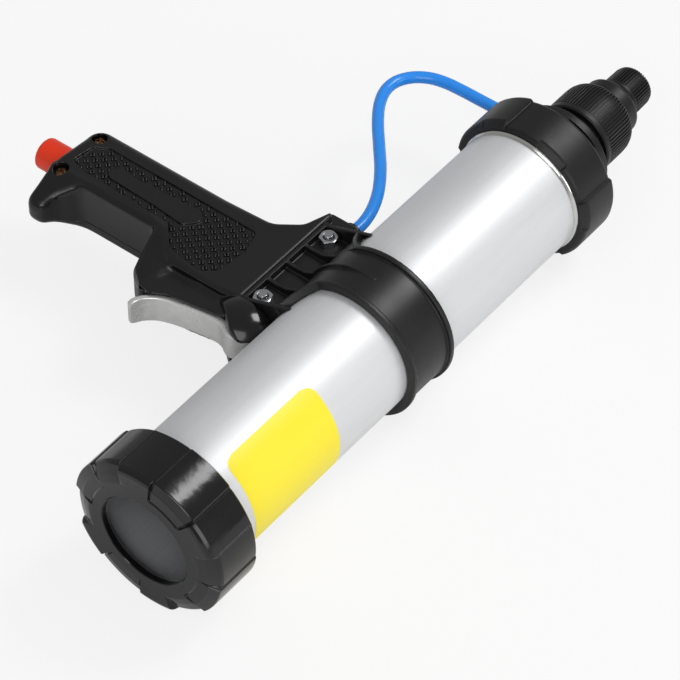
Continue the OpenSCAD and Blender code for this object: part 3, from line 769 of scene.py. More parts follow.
# Every finish of the tool by its material slot, and two without a slot of their own
FINISHES: dict[str, Finish] = {
    # Glass-filled nylon from a polished mould: near black, wet-looking highlights
    "black_gloss": Finish(
        "nylon_polished_moulded", "#0C0C0D", "#101011", 0.14,
        grain_mm=4.0, bump=0.6, rough_spread=0.04, patch_mm=18,
    ),
    # Glass-filled nylon from a spark-eroded mould: charcoal, soft broad highlights
    "black_satin": Finish(
        "nylon_eroded_moulded", "#0F0F10", "#131314", 0.4, ior=1.45,
        grain_mm=0.5, bump=0.22, rough_spread=0.05, patch_mm=22,
    ),
    # Handle shells in the same nylon, a shade greyer where they are handled
    "handle_plastic": Finish(
        "nylon_handle_moulded", "#101011", "#151516", 0.36, ior=1.45,
        grain_mm=0.45, bump=0.2, rough_spread=0.06, patch_mm=26,
    ),
    # Extruded 6063 aluminium tube, fine satin anodised: pale grey, drawn-out sheen
    "tube_aluminium": Finish(
        "aluminium_satin_anodised", "#DFE0E2", "#E6E7E9", 0.5, metallic=0.45,
        grain_mm=0.5, bump=0.05, rough_spread=0.03, patch_mm=30, drawn=Axis.ALONG,
    ),
    # The tube's bore: bare drawn aluminium, its darker grey painted shade inside the tube
    "bore": Finish(
        "aluminium_bore_painted_shade", "#A9AAAD", "#9C9DA0", 0.5, metallic=0.4,
        rough_spread=0.05, patch_mm=14, drawn=Axis.ALONG,
    ),
    # Rolled steel ring with bright nickel plate: mirror-like
    "bright_steel": Finish(
        "steel_nickel_plated", "#D9D9D6", "#C9C9C6", 0.18, metallic=1.0,
        rough_spread=0.05, patch_mm=6,
    ),
    # Zinc-plated steel fasteners: cool silver with slightly uneven gloss
    "zinc_steel": Finish(
        "steel_zinc_plated", "#C4C6C8", "#A4A8AC", 0.27, metallic=1.0,
        grain_mm=0.5, bump=0.1, rough_spread=0.08, patch_mm=2,
    ),
    # Spring wire, drawn steel
    "spring_steel": Finish(
        "steel_spring_wire", "#A8A8A4", "#8F8F8B", 0.32, metallic=1.0,
        rough_spread=0.08, patch_mm=4,
    ),
    # Zinc alloy casting, tumbled and nickel plated: silvery, broken highlights
    "cast_lever": Finish(
        "zinc_cast_tumbled", "#E6E6E4", "#CDCDCC", 0.33, metallic=0.6,
        grain_mm=1.1, bump=0.14, rough_spread=0.1, patch_mm=7,
    ),
    # Turned brass, a little tarnished
    "brass": Finish(
        "brass_turned", "#94714F", "#6E4A36", 0.33, metallic=1.0,
        rough_spread=0.1, patch_mm=2.5,
    ),
    # Aluminium valve parts, turned and clear anodised
    "valve_metal": Finish(
        "aluminium_turned", "#BDBEC0", "#A9AAAC", 0.3, metallic=1.0,
        rough_spread=0.06, patch_mm=5,
    ),
    # Nitrile rubber rings: matt black
    "seal_rubber": Finish(
        "nitrile_rubber_moulded", "#161616", "#1D1D1D", 0.62, ior=1.52,
        rough_spread=0.05, patch_mm=8,
    ),
    # Extruded polyamide pipe inside the handle
    "pipe_plastic": Finish(
        "polyamide_pipe_extruded", "#2A2B2E", "#303135", 0.4, ior=1.53,
        rough_spread=0.05, patch_mm=9,
    ),
    # Polyurethane air hose: saturated blue, slightly translucent, smooth
    "hose_blue": Finish(
        "polyurethane_hose_extruded", "#2892FA", "#329BFF", 0.22,
        rough_spread=0.04, patch_mm=12, subsurface=0.05,
    ),
    # Polyethylene transport plug: orange red, waxy
    "plug_red": Finish(
        "polyethylene_plug_moulded", "#F03208", "#F43C10", 0.42,
        rough_spread=0.05, patch_mm=7, subsurface=0.05,
    ),
    # Vinyl label stock: yellow, faintly glossy film
    "label": Finish(
        "vinyl_label_film", "#FFEA1E", "#FFEE3C", 0.4,
        rough_spread=0.03, patch_mm=30,
    ),
}


class Dresser:
    """Gives pieces their finish and body, and hides the CAD nodes they replace."""

    def dress(
        self,
        piece: Object,
        body: str,
        slot: str,
        stands_for: Sequence[str] = (),
        finish: str = "",
    ) -> Object:
        """Finishes a piece and says where it belongs.

        Args:
            piece: The new mesh object.
            body: CAD body that it rides on.
            slot: Material slot of the record.
            stands_for: CAD nodes that it replaces.
            finish: Name of a finish that differs from the slot's own.

        Returns:
            The same piece.
        """
        piece.data.materials.clear()
        piece.data.materials.append(FINISHES[finish or slot].build())
        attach(piece, body)
        if stands_for:
            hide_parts(*stands_for)
        log.info("%s: %d faces on %s", piece.name, len(piece.data.polygons), body)
        return piece

    def dress_nodes(self, frame: dict) -> None:
        """Gives every CAD node the finish of its slot.
        """
        for name, node in frame["nodes"].items():
            for place in node.material_slots:
                wanted = place.material.name.split(".")[0] if place.material else ""
                finish = FINISHES.get(wanted)
                if finish is None:
                    log.warning("%s has no finish for %s", name, wanted)
                    continue
                place.material = finish.build()


# ---- the tool's own sizes


@dataclass(frozen=True)
class Sizes:
    """Stations that more than one piece uses, in mm, the same as in the solids."""

    barrel_r: float = 27.0
    bore_r: float = 25.5
    cap_r: float = 34.0
    cap_len: float = 22.8
    cap_lip: float = 2.4
    hole_r: float = 19.8
    cap_bore_r: float = 27.35
    cap_turn: float = 65.5
    panel_half: float = 17.0
    barrel_front: float = 4.4
    nut_front: float = 227.5
    nut_back: float = 246.9
    nut_r: float = 30.2
    nut_lug: float = 1.4
    barrel_back: float = 231.1
    collar_r: float = 27.9
    neck_r: float = 14.0
    silencer_s: float = 248.1
    silencer_back: float = 257.5
    silencer_r: float = 21.0
    slot_half: float = 20.9
    slot_floor_r: float = 16.5
    port_s: float = 259.2
    fitting_r: float = 4.3
    union_s: float = 263.6
    union_r: float = 16.5
    union_back: float = 283.1
    union_ribs: int = 72
    knob_ribs: int = 42
    rib_share: float = 0.6
    bonnet_s: float = 271.1
    bonnet_r: float = 12.6
    bonnet_back: float = 292.6
    knob_s: float = 292.9
    knob_r: float = 9.1
    knob_len: float = 13.9
    band_s: float = 119.4
    band_back: float = 143.8
    band_in: float = 27.15
    band_out: float = 29.35
    band_lip_r: float = 30.75
    leg_s: float = 106.1
    leg_back: float = 157.1
    leg_drop: float = 41.5
    leg_in: float = 7.15
    grip_s: float = 114.3
    handle_back: float = 144.7
    half: float = 12.5
    drop: float = 146.0
    parting: float = -7.0
    seat_r: float = 27.45
    pivot: tuple[float, float] = (98.5, 36.5)
    inlet_s: float = 128.284
    bolts: tuple = ((111.6, 35.6), (151.6, 35.6))
    bolt_end: float = 26.5
    nut_t: float = 3.2
    head_t: float = 3.6
    pocket_z: float = 9.35
    screws: tuple = ((138.5, 140.0), (116.5, 140.8))
    screw_z: float = 9.1
    plug_r: float = 6.7
    plug_show: float = 15.0
    entry_depth: float = 4.0


def ease(share: float) -> float:
    """Gives a smooth step from 0 to 1 as the share passes from 0 to 1."""
    share = min(max(share, 0.0), 1.0)
    return share * share * (3 - 2 * share)


class Maker:
    """Base of the classes that build the tool's pieces."""

    def __init__(self, sizes: Sizes, dresser: Dresser, copies: Copies) -> None:
        """Keeps the sizes, the dresser and the tree that makes copies.

        Args:
            sizes: Sizes that more than one piece uses.
            dresser: Gives pieces their finish and their body.
            copies: Geometry Nodes that repeat a mesh.
        """
        self.sizes = sizes
        self.dresser = dresser
        self.copies = copies


class BarrelSet(Maker):
    """Barrel tube with its front cap, ring nut, collar and label."""

    # Middle of the ring nut's high quarters and the ends of its large bevels, in degrees
    nut_turn: float = 63.0
    cuts: tuple = ((106, 132), (50, 78), (352, 381), (172, 201), (230, 258), (286, 312))

    def cap_outline(self, angle: float) -> Outline:
        """Gives the front cap's outline at one angle round the barrel.

        Four panels have a stepped front edge and a fine groove on both sides. Between
        them the front corner is round on one half and cut back deeply on the other.

        Args:
            angle: Angle in degrees from +Y towards +Z.

        Returns:
            Stations and radii in mm.
        """
        k = self.sizes
        fold = abs((angle - k.cap_turn + 90.0) % 180.0 - 90.0)
        quarter = min(fold, 90.0 - fold)
        share = min(max((quarter - k.panel_half) / (45.0 - k.panel_half), 0.0), 1.0)
        groove = 0.42 * max(0.0, 1 - ((quarter - k.panel_half) / 1.15) ** 2)
        o = k.cap_r - 0.4 * ease((quarter - k.panel_half) / 0.8) + 0.3 * share**2 - groove
        o += 0.16 * max(0.0, 1 - ((quarter - 45.0) / 0.5) ** 2)
        panel = [
            (0, 24.0), (0, 24.3), (0.45, 24.9), (0.7, 29.6), (0.95, 30.2),
            (1.95, o - 0.25), (2.4, o),
        ]
        high = [
            (0, 24.0), (0, 24.3), (0, 26.0), (0, o - 2.4), (0.32, o - 1.2),
            (1.2, o - 0.32), (2.4, o),
        ]
        low = [
            (0, 24.0), (0, 25.9), (0.12, 26.5), (0.9, 29.0), (2.6, o - 1.2),
            (3.3, o - 0.4), (4.4, o),
        ]
        beside = ease((quarter - k.panel_half) / 1.2)
        deep = ease((fold - 45.0) / 3.0 + 0.5)
        front = []
        for a, b, c in zip(panel, high, low):
            s, r = (
                (1 - beside) * a[i] + beside * ((1 - deep) * b[i] + deep * c[i])
                for i in (0, 1)
            )
            front.append((s + (groove if r > 24.5 else 0.0), r))
        return front + [
            (k.cap_len - 0.5, o), (k.cap_len, o - 0.5), (k.cap_len, k.cap_bore_r),
            (k.cap_lip, k.cap_bore_r), (k.cap_lip, k.hole_r), (0.3, k.hole_r),
            (0, k.hole_r + 0.3),
        ]

    def nut_outline(self, angle: float) -> Outline:
        """Gives the rear ring nut's outline at one angle round the barrel.

        Two opposite quarters stand higher. Large and small bevels take turns along the
        front edge.

        Args:
            angle: Angle in degrees from +Y towards +Z.

        Returns:
            Stations and radii in mm.
        """
        k = self.sizes
        f, b = k.nut_front, k.nut_back
        within = 45.0 - abs((angle - self.nut_turn) % 180.0 - 90.0)
        o = k.nut_r + k.nut_lug * ease(within / 1.6 + 0.5)
        cut = -9.0
        for start, end in self.cuts:
            turned = (angle - start) % 360.0
            cut = max(cut, min(turned, end - start - turned))
        deep = ease(cut / 1.4 + 0.5)
        small = [(f, o - 1.3), (f + 0.35, o - 0.45), (f + 1.2, o)]
        large = [(f, o - 2.0), (f + 2.2, o - 0.4), (f + 3.0, o)]
        front = [
            tuple((1 - deep) * p + deep * q for p, q in zip(a, c))
            for a, c in zip(small, large)
        ]
        return [
            (f, 28.05), *front, (b - 1.4, o), (b - 0.5, o - 0.4), (b, o - 1.4),
            (b, 28.5), (f + 1.8, 28.5), (f + 1.8, 28.05),
        ]

    def build(self) -> None:
        """Builds and dresses the pieces on the barrel."""
        k = self.sizes
        middles = [k.cap_turn + 90 * quarter for quarter in range(4)]
        edges = [m + side for m in middles for side in (-k.panel_half, k.panel_half)]
        ridges = [m + 45 for m in middles]
        angles = angles_for(1.5, (edges, 1.5, 0.15), (ridges, 1.8, 0.2))
        cap = ring_of("front_cap_moulded", self.cap_outline, angles)
        self.dresser.dress(cap, "cap", "black_gloss", ["front_cap"])
        steps = [self.nut_turn + 45 + 90 * quarter for quarter in range(4)]
        steps += np.ravel(self.cuts).tolist()
        angles = angles_for(2.0, (steps, 1.2, 0.3))
        nut = ring_of("ring_nut_moulded", self.nut_outline, angles)
        self.dresser.dress(nut, "body", "black_satin", ["ring_nut"])
        self.tube()
        self.label()

    def tube(self) -> None:
        """Builds the barrel tube with its bore darkened as painted shade, and the collar at
        its rear end.
        """
        k = self.sizes
        profile = [
            (k.barrel_front, k.bore_r + 0.3), (k.barrel_front, k.barrel_r - 0.3),
            (k.barrel_front + 0.3, k.barrel_r), (k.barrel_back, k.barrel_r),
            (k.barrel_back, k.bore_r), (k.barrel_front + 0.3, k.bore_r),
        ]
        tube = revolved("barrel_tube_drawn", profile, steps=256)
        self.dresser.dress(tube, "body", "tube_aluminium", ["barrel_tube"])
        # The bore's faces get the darker grey finish: painted shade inside the tube
        tube.data.materials.append(FINISHES["bore"].build())
        for face in tube.data.polygons:
            place = face.center / MM
            if math.hypot(place.y, place.z) < k.bore_r + 0.1:
                face.material_index = 1
        profile = [
            (k.nut_front - 2.0, k.barrel_r + 0.02), (k.nut_front - 1.95, 27.35),
            (k.nut_front - 1.7, 27.5), (k.nut_front - 1.4, 27.42),
            (k.nut_front - 1.3, 27.3), (k.nut_front - 1.1, 27.5),
            (k.nut_front - 0.8, 27.8), (k.nut_front - 0.35, 27.98),
            (k.nut_front + 0.2, k.collar_r), (k.nut_front + 2.0, k.collar_r),
            (k.nut_front + 2.1, 28.35), (k.barrel_back, 28.4),
            (k.barrel_back, k.barrel_r + 0.02),
        ]
        collar = revolved("tube_collar_rolled", profile, steps=256)
        self.dresser.dress(collar, "body", "bright_steel", ["tube_collar"])

    def label(self) -> None:
        """Builds the plain yellow label on the barrel."""
        k = self.sizes
        front, back, low, high, corner = 30.4, 79.2, -58.0, 63.5, 5.0
        rows, columns, film = 26, 60, 0.07
        reach = math.radians(high - low) / 2 * k.barrel_r
        half = (back - front) / 2
        points = []
        for r in (k.barrel_r + 0.01, k.barrel_r + film):
            for i in range(rows + 1):
                for j in range(columns + 1):
                    u, v = -1 + 2 * i / rows, -1 + 2 * j / columns
                    across = v * reach
                    over = max(abs(across) - (reach - corner), 0.0)
                    limit = half - corner + math.sqrt(max(corner**2 - over**2, 0.0))
                    along = (front + back) / 2 + u * limit
                    angle = math.radians((low + high) / 2) + across / k.barrel_r
                    points.append((-along, r * math.cos(angle), r * math.sin(angle)))
        wide, total = columns + 1, (rows + 1) * (columns + 1)
        faces = []
        for i in range(rows):
            for j in range(columns):
                a = i * wide + j
                faces.append((a, a + 1, a + wide + 1, a + wide))
                faces.append([total + p for p in (a, a + wide, a + wide + 1, a + 1)])
        rim = list(range(columns))
        rim += [i * wide + columns for i in range(rows)]
        rim += [rows * wide + j for j in range(columns, 0, -1)]
        rim += [i * wide for i in range(rows, 0, -1)]
        for a, b in zip(rim, rim[1:] + rim[:1]):
            faces.append((a, total + a, total + b, b))
        label = new_mesh("plain_label", np.array(points), faces)
        label.data.set_sharp_from_angle(angle=math.radians(40))
        self.dresser.dress(label, "body", "tube_aluminium", finish="label")


class RegulatorSet(Maker):
    """Silencer ring, union nut, bonnet and knob behind the barrel."""

    def silencer_outline(self, angle: float) -> Outline:
        """Gives the silencer's outline at one angle: its slots and the fitting's seat.

        Args:
            angle: Angle in degrees from +Y towards +Z.

        Returns:
            Stations and radii in mm.
        """
        k = self.sizes
        open_ = abs((angle + 30.0) % 60.0 - 30.0) < k.slot_half
        floor = k.slot_floor_r if open_ else k.silencer_r
        r, f, b = k.silencer_r, k.silencer_s, k.silencer_back
        points = [
            (f, k.neck_r + 0.05), (f, r - 0.6), (f + 0.5, r), (f + 1.6, r),
            (f + 1.6, floor), (f + 6.0, floor), (f + 6.0, r), (b - 0.7, r),
            (b, r - 0.6), (b, k.neck_r + 0.05),
        ]
        off = abs(math.radians(angle - 180.0))
        seated = []
        for s, radius in points:
            room = k.fitting_r**2 - (radius * off) ** 2
            limit = k.port_s - math.sqrt(room) if room > 0 and off < 1 else b
            seated.append((min(s, limit), radius))
        return seated

    def build(self) -> None:
        """Builds and dresses the regulator's pieces."""
        k = self.sizes
        edges = [60 * i + side for i in range(6) for side in (-k.slot_half, k.slot_half)]
        angles = angles_for(3.0, (edges, 0.04, 0.08), ([180], 20, 0.75))
        silencer = ring_of("silencer_moulded", self.silencer_outline, angles)
        self.dresser.dress(silencer, "body", "black_satin", ["silencer_ring"])
        self.union()
        self.knob()

    def union(self) -> None:
        """Builds the ribbed union nut and the bonnet that it holds."""
        k = self.sizes
        s, b, r = k.union_s, k.union_back, k.union_r
        profile = [
            (s, k.neck_r + 0.05), (s, r - 0.6), (s + 0.6, r), (s + 2.6, r),
            (s + 3.0, r - 0.6), (b - 6.4, r - 0.6), (b - 4.0, r - 0.8),
            (b - 2.2, r - 1.4), (b - 1.2, r - 2.0), (b - 1.1, r - 1.4),
            (b - 0.3, r - 2.0), (b, r - 2.5), (b, k.bonnet_r + 0.05),
            (k.bonnet_s + 2.6, k.bonnet_r + 0.05), (k.bonnet_s + 2.6, k.neck_r + 0.05),
        ]
        core = revolved("union_core", profile, steps=160)
        crest = [
            (s + 2.8, r, 1.0), (b - 6.4, r, 1.0), (b - 4.0, r - 0.2, 1.0),
            (b - 2.2, r - 0.75, 1.0), (b - 1.1, r - 1.35, 1.0),
        ]
        self.ribbed("union_nut", "body", core, crest, 0.6, k.union_ribs)
        e, r = k.bonnet_back, k.bonnet_r
        profile = [
            (k.bonnet_s, 9.4), (k.bonnet_s, k.neck_r), (k.bonnet_s + 2.5, k.neck_r),
            (k.bonnet_s + 2.5, r), (e - 3.7, r), (e - 3.0, r - 0.25),
            (e - 2.5, r - 0.75), (e - 0.5, k.knob_r + 0.9), (e, k.knob_r + 0.4),
            (e, 2.45), (e - 4.6, 2.45), (e - 4.6, 9.4),
        ]
        bonnet = revolved("bonnet_moulded", profile)
        self.dresser.dress(bonnet, "body", "black_satin", ["bonnet"])

    def knob(self) -> None:
        """Builds the ribbed knob."""
        k = self.sizes
        s, e, r = k.knob_s, k.knob_s + k.knob_len, k.knob_r
        profile = [
            (s, 0), (s, r - 0.5), (s + 0.5, r), (s + 1.6, r), (s + 1.9, r - 0.8),
            (e - 3.2, r - 0.95), (e - 1.4, r - 1.7), (e - 0.45, r - 2.8),
            (e, r - 4.2), (e, 3.0), (e - 0.4, 2.6), (e - 0.4, 0),
        ]
        core = revolved("knob_core", profile)
        crest = [
            (s + 1.7, r, 1.0), (e - 3.4, r - 0.2, 1.0), (e - 1.8, r - 0.7, 1.0),
            (e - 0.8, r - 1.55, 0.8), (e - 0.3, r - 2.5, 0.3),
        ]
        self.ribbed("regulator_knob", "knob", core, crest, 0.8, k.knob_ribs)

    def ribbed(
        self, node: str, body: str, core: Object, crest: list, height: float, count: int
    ) -> None:
        """Repeats a rib round a core, joins them and dresses the piece.

        Args:
            node: CAD node that the piece stands for.
            body: CAD body that it rides on.
            core: The smooth core.
            crest: Station, radius and share of the full height along a rib's crest.
            height: Full height of a rib in mm.
            count: Number of ribs.
        """
        name = node.replace("regulator_", "")
        width = self.sizes.rib_share * 2 * math.pi * crest[0][1] / count
        rib = bar(name + "_rib", crest, width, height)
        ribs = self.copies.round_axis(name + "_ribs", rib, count, "black_satin")
        piece = joined(name + "_moulded", [core, ribs])
        self.dresser.dress(piece, body, "black_satin", [node])


class HandleSet(Maker):
    """Handle shells with their textured panels, and the trigger."""

    # Place of one hole of the woven texture and the steps to its neighbours, s and d
    lattice: tuple = ((131.07, 76.65), (2.53, -2.6), (-1.57, -2.9))
    # Corners of the textured panel and of the plain island in it
    panel: tuple = (
        (122.8, 140.3), (133.1, 138.7), (136.5, 132.9), (136.1, 58.6), (125.5, 55.8),
        (111.1, 57.3), (107.0, 63.2), (109.2, 79.4), (119.3, 88.7), (120.9, 133.4),
    )
    panel_corner: float = 2.2
    lozenge: tuple = (
        (125.9, 125.5), (131.4, 121.6), (130.4, 113.7), (132.0, 81.6), (126.9, 79.1),
        (121.8, 84.2), (123.1, 98.9), (123.9, 122.0),
    )
    lozenge_corner: float = 2.6
    # Corners and radii of the wall beside the trigger, and how far the left one stands back
    wall: tuple = (
        (106, 84, 0), (95, 84, 2), (91.0, 79.8, 1), (89.6, 73.2, 2.5), (93.2, 66.6, 4),
        (94.0, 58.8, 20), (95.9, 47.2, 8), (98.4, 40, 0), (106, 40, 0),
    )
    left_back: float = 1.3
    # Front face of the trigger from its root to its curled tip, and its thickness there
    lever_line: tuple = (
        (92.1, 36.5, 3.2), (93.9, 40.5, 3.2), (95.3, 44.5, 3.0), (94.7, 50.5, 3.0),
        (93.6, 57.5, 3.0), (92.2, 64.0, 2.9), (90.2, 70.0, 2.6), (86.6, 74.4, 2.4),
        (82.1, 76.9, 2.2),
    )
    # Largest pull of the trigger in degrees, and half the width of its slot
    pull: float = 8.0
    slot_room: float = 7.0
    # Hollows for the slot, the valve and the two pipes: ends in s, ends in d, half width
    hollows: tuple = (
        (60, 107.6, 41.8, 75, slot_room), (106.5, 140.8, 48.6, 63.4, 7.2),
        (122.0, 134.6, 56, 124, 5.5), (108, 163, 42.8, 49, 2.6),
    )
    trigger_half: float = 6.5
    boss_r: float = 6.4
    pin_hole_r: float = 2.05
    recess_r: float = 3.1
    panel_depth: float = 0.8
    fitting_seat_r: float = 8.75
    # Glossy are the nose, up to these stations, and faces steeper than this slope
    nose_s: float = 106.0
    nose_d: float = 50.0
    glossy_slope: float = 0.62

    def lever_plan(self, s: Points, d: Points) -> Points:
        """Distance in plan to the trigger's blade and its boss.

        Args:
            s, d: Places of the points in mm.

        Returns:
            Distances in mm.
        """
        line = np.array(self.lever_line)
        fine = np.linspace(0, len(line) - 1, 40)
        knots = np.arange(len(line))
        line = np.stack([np.interp(fine, knots, line[:, i]) for i in range(3)], axis=1)
        for _ in range(3):
            line[1:-1] = 0.25 * line[:-2] + 0.5 * line[1:-1] + 0.25 * line[2:]
        along = np.gradient(line[:, :2], axis=0)
        along /= np.linalg.norm(along, axis=1, keepdims=True)
        back = line[:, :2] + line[:, 2:] * np.stack([along[:, 1], -along[:, 0]], axis=1)
        blade = outline_distance(s, d, np.concatenate([line[:, :2], back[::-1]]))
        pivot = self.sizes.pivot
        boss = np.hypot(s - pivot[0], d - pivot[1]) - self.boss_r
        return blended(blade, boss, 1.0)

    def lever(self, s: Points, d: Points, z: Points) -> Points:
        """Distance to the trigger: a cast blade with a curled tip, boss and pad.

        Args:
            s, d, z: Places of the points in mm.

        Returns:
            Distances in mm.
        """
        pivot, half = self.sizes.pivot, self.trigger_half
        blade = rounded(self.lever_plan(s, d), np.abs(z) - half, 1.1)
        tip = rounded(81.6 - s, z - half, 5.5)
        tip = np.maximum(tip, rounded(81.6 - s, -z - half, 3.0))
        blade = rounded(blade, np.where(d > 60, tip, -9.0), 0.6)
        pad = np.maximum(slab(s, 94.5, 98.3), slab(d, 51.5, 60.5))
        blade = np.minimum(blade, rounded(pad, np.abs(z) - 4.0, 0.4))
        hole = self.pin_hole_r - np.hypot(s - pivot[0], d - pivot[1])
        return np.maximum(blade, hole)

    def pulled(self, s: Points, d: Points, z: Points) -> Points:
        """Distance to the room that the pulled trigger takes in the shells.

        Args:
            s, d, z: Places of the points in mm.

        Returns:
            Distances in mm.
        """
        turn, pivot = math.radians(self.pull), self.sizes.pivot
        u, v = s - pivot[0], d - pivot[1]
        s_back = pivot[0] + u * math.cos(turn) - v * math.sin(turn)
        d_back = pivot[1] + u * math.sin(turn) + v * math.cos(turn)
        room = self.lever_plan(s_back, d_back) - 0.35
        return np.maximum(room, np.abs(z) - self.slot_room)

    def outside(self, s: Points, d: Points, z: Points) -> Points:
        """Distance to the whole handle, both shells together.

        It is made of the grip, the toe at its base, the horn below the trigger, the top
        under the clamp and the spur behind it.

        Args:
            s, d, z: Places of the points in mm.

        Returns:
            Distances in mm.
        """
        k = self.sizes
        grip = plan_of(
            s, d, (k.grip_s, 58, 0), (k.grip_s, k.drop, 3), (k.handle_back, k.drop, 7),
            (k.handle_back, 58, 0),
        )
        toe = plan_of(
            s, d, (118, 120, 0), (114.9, 127.5, 6), (106.5, 136, 10), (99.8, 137.8, 4),
            (99.6, 146, 5), (118, 146, 0),
        )
        toe_half = np.interp(
            s, [98, 101, 104, 108, 112, 116, 120], [3.0, 5.2, 6.6, 8.4, 10.6, 12.1, 12.5]
        )
        toe = rounded(toe, (np.abs(z) - toe_half) * 0.85, 2.6)
        horn = plan_of(
            s, d, (118, 96, 0), (114.3, 91.8, 5), (104, 89.2, 6), (94.9, 86.2, 4.5),
            (91.7, 80.2, 2.2), (97.5, 75.9, 3), (103.8, 74.0, 4), (118, 72, 0),
        )
        horn_half = np.interp(
            s, [91, 93, 96, 100, 104, 108, 112, 116],
            [5.4, 7.3, 8.7, 9.4, 9.9, 10.9, 12.0, 12.5],
        )
        horn = rounded(horn, (np.abs(z) - horn_half) * 0.85, 2.2)
        top = plan_of(
            s, d, (103.9, 76, 4), (103.9, 50, 3), (105.8, 41.65, 0.6),
            (161.2, 41.65, 0.6), (163.0, 43.6, 0.6), (151.4, 47.6, 6),
            (144.7, 57.5, 9), (144.7, 92, 0), (114.3, 92, 0), (110, 84, 3),
        )
        behind = np.clip((s - 122) / 14, 0.0, 1.0)
        below = np.clip((d - 46) / 34, 0.0, 1.0)
        edge = 1.6 + below * (0.9 + 2.5 * behind)
        whole = rounded(np.minimum(grip, top), np.abs(z) - k.half, edge)
        whole = blended(whole, horn, 3.5)
        whole = blended(whole, toe, 3.5)
        spur = plan_of(
            s, d, (157.4, 31, 1), (165.3, 31, 2.5), (165.3, 45.6, 2.5), (157.4, 46.5, 0)
        )
        spur = rounded(spur, np.abs(z) - 9.0, 1.2)
        return blended(whole, spur, 0.8)

    def nose(self, s: Points, d: Points, z: Points, side: float) -> Points:
        """Distance to the domed cheek on one side of the trigger's slot.

        Args:
            s, d, z: Places of the points in mm.
            side: 1 for the right side, -1 for the left.

        Returns:
            Distances in mm.
        """
        dome = np.sqrt((s - 101.3) ** 2 + (d - 37.5) ** 2 + (z * side + 2.0) ** 2) - 16.0
        plan = plan_of(
            s, d, (108, 24, 0), (92.2, 24, 2), (90.4, 31.2, 4), (91.8, 36, 5),
            (96.4, 41.6, 4), (103.4, 51.5, 3), (108, 52, 0),
        )
        cheek = np.maximum(dome, 7.1 - z * side)
        cheek = rounded(cheek, plan, 0.9)
        cheek = np.maximum(cheek, self.sizes.seat_r - np.hypot(d, z))
        return np.maximum(cheek, np.minimum(s - 105.95, 41.6 - d))

    def skirt(self, s: Points, d: Points, z: Points, side: float) -> Points:
        """Distance to the wall that hides the trigger's slot on one side.

        Args:
            s, d, z: Places of the points in mm.
            side: 1 for the right side, -1 for the left.

        Returns:
            Distances in mm.
        """
        plan = plan_of(s - (0.0 if side > 0 else self.left_back), d, *self.wall)
        outer = np.interp(d, [60, 67, 80], [8.9, 8.1, 7.9])
        inner = np.interp(d, [74, 77], [7.05, 4.0])
        return rounded(plan, np.maximum(z * side - outer, inner - z * side), 0.4)

    def cuts(self, s: Points, d: Points, z: Points) -> Points:
        """Distance to the hollows that hold the valve, the pipes and the trigger.

        Args:
            s, d, z: Places of the points in mm.

        Returns:
            Distances in mm.
        """
        rooms = [
            np.maximum(np.maximum(slab(s, a, b), slab(d, top, base)), np.abs(z) - half)
            for a, b, top, base, half in self.hollows
        ]
        seat = np.hypot(s - self.sizes.inlet_s, z) - self.fitting_seat_r
        seat = np.maximum(seat, slab(d, 123.8, 160))
        return np.minimum.reduce([*rooms, seat, self.pulled(s, d, z)])

    def sunk(self, s: Points, d: Points) -> Points:
        """Distance in plan to the sunk border of the textured panel.

        Args:
            s, d: Places of the points in mm.

        Returns:
            Distances in mm.
        """
        edge = plan_of(s, d, *[(*p, self.panel_corner) for p in self.panel])
        island = plan_of(s, d, *[(*p, self.lozenge_corner) for p in self.lozenge])
        return np.maximum(edge, -island)

    def screws(self, s: Points, d: Points, z: Points) -> Points:
        """Distance to the screw recesses on the right side."""
        holes = [np.hypot(s - a, d - b) - self.recess_r for a, b in self.sizes.screws]
        return np.maximum(np.minimum(*holes), self.sizes.screw_z - z)

    def shell(self, s: Points, d: Points, z: Points, side: float) -> Points:
        """Distance to one shell.

        The right shell has a tongue that fills the clamp, and the recesses of the
        screws. The left shell ends below the clamp.

        Args:
            s, d, z: Places of the points in mm.
            side: 1 for the right side, -1 for the left.

        Returns:
            Distances in mm.
        """
        k = self.sizes
        body = self.outside(s, d, z)
        if side > 0:
            plan = [(106.3, 31.2), (159.2, 31.2), (159.2, 45), (106.3, 45)]
            tongue = rounded(outline_distance(s, d, plan), np.abs(z) - 6.9, 0.5)
            tongue = np.maximum(tongue, k.seat_r - np.hypot(d, z))
            body = np.minimum(body, tongue)
        else:
            body = np.maximum(body, k.leg_drop + 0.15 - d)
        body = blended(body, self.skirt(s, d, z, side), 3.0)
        body = blended(body, self.nose(s, d, z, side), 0.8)
        floor = np.maximum(self.sunk(s, d), k.half - self.panel_depth - z * side)
        body = carved(body, floor, 0.5)
        if side > 0:
            body = carved(body, self.screws(s, d, z), 0.5)
        body = np.maximum(body, -self.cuts(s, d, z))
        return rounded(body, (k.parting - z) * side + 0.05, 0.35)

    def build(self) -> None:
        """Builds and dresses the handle's pieces."""
        for side, node, low, high in (
            ("right", "handle_body", -7.5, 13), ("left", "handle_cover", -13, -6.5)
        ):
            shape = partial(self.shell, side=1.0 if side == "right" else -1.0)
            room = Box((89, 23, low), (166, 147, high))
            shell = mesh_of(f"handle_{side}_moulded", shape, room, cell=0.6)
            self.dresser.dress(shell, "body", "handle_plastic", [node])
            self.polish(shell)
        room = Box((80, 30, -6.6), (106, 80, 6.6))
        lever = mesh_of("trigger_cast", self.lever, room, cell=0.45)
        self.dresser.dress(lever, "lever", "cast_lever", ["trigger"])
        self.pellets()

    def polish(self, shell: Object) -> None:
        """Gives a shell's walls and its nose the polished mould's gloss.

        Args:
            shell: The shell's object.
        """
        shell.data.materials.append(FINISHES["black_gloss"].build())
        for face in shell.data.polygons:
            place = face.center / MM
            nose = -place.x < self.nose_s and -place.y < self.nose_d
            if nose or abs(face.normal.z) < self.glossy_slope:
                face.material_index = 1

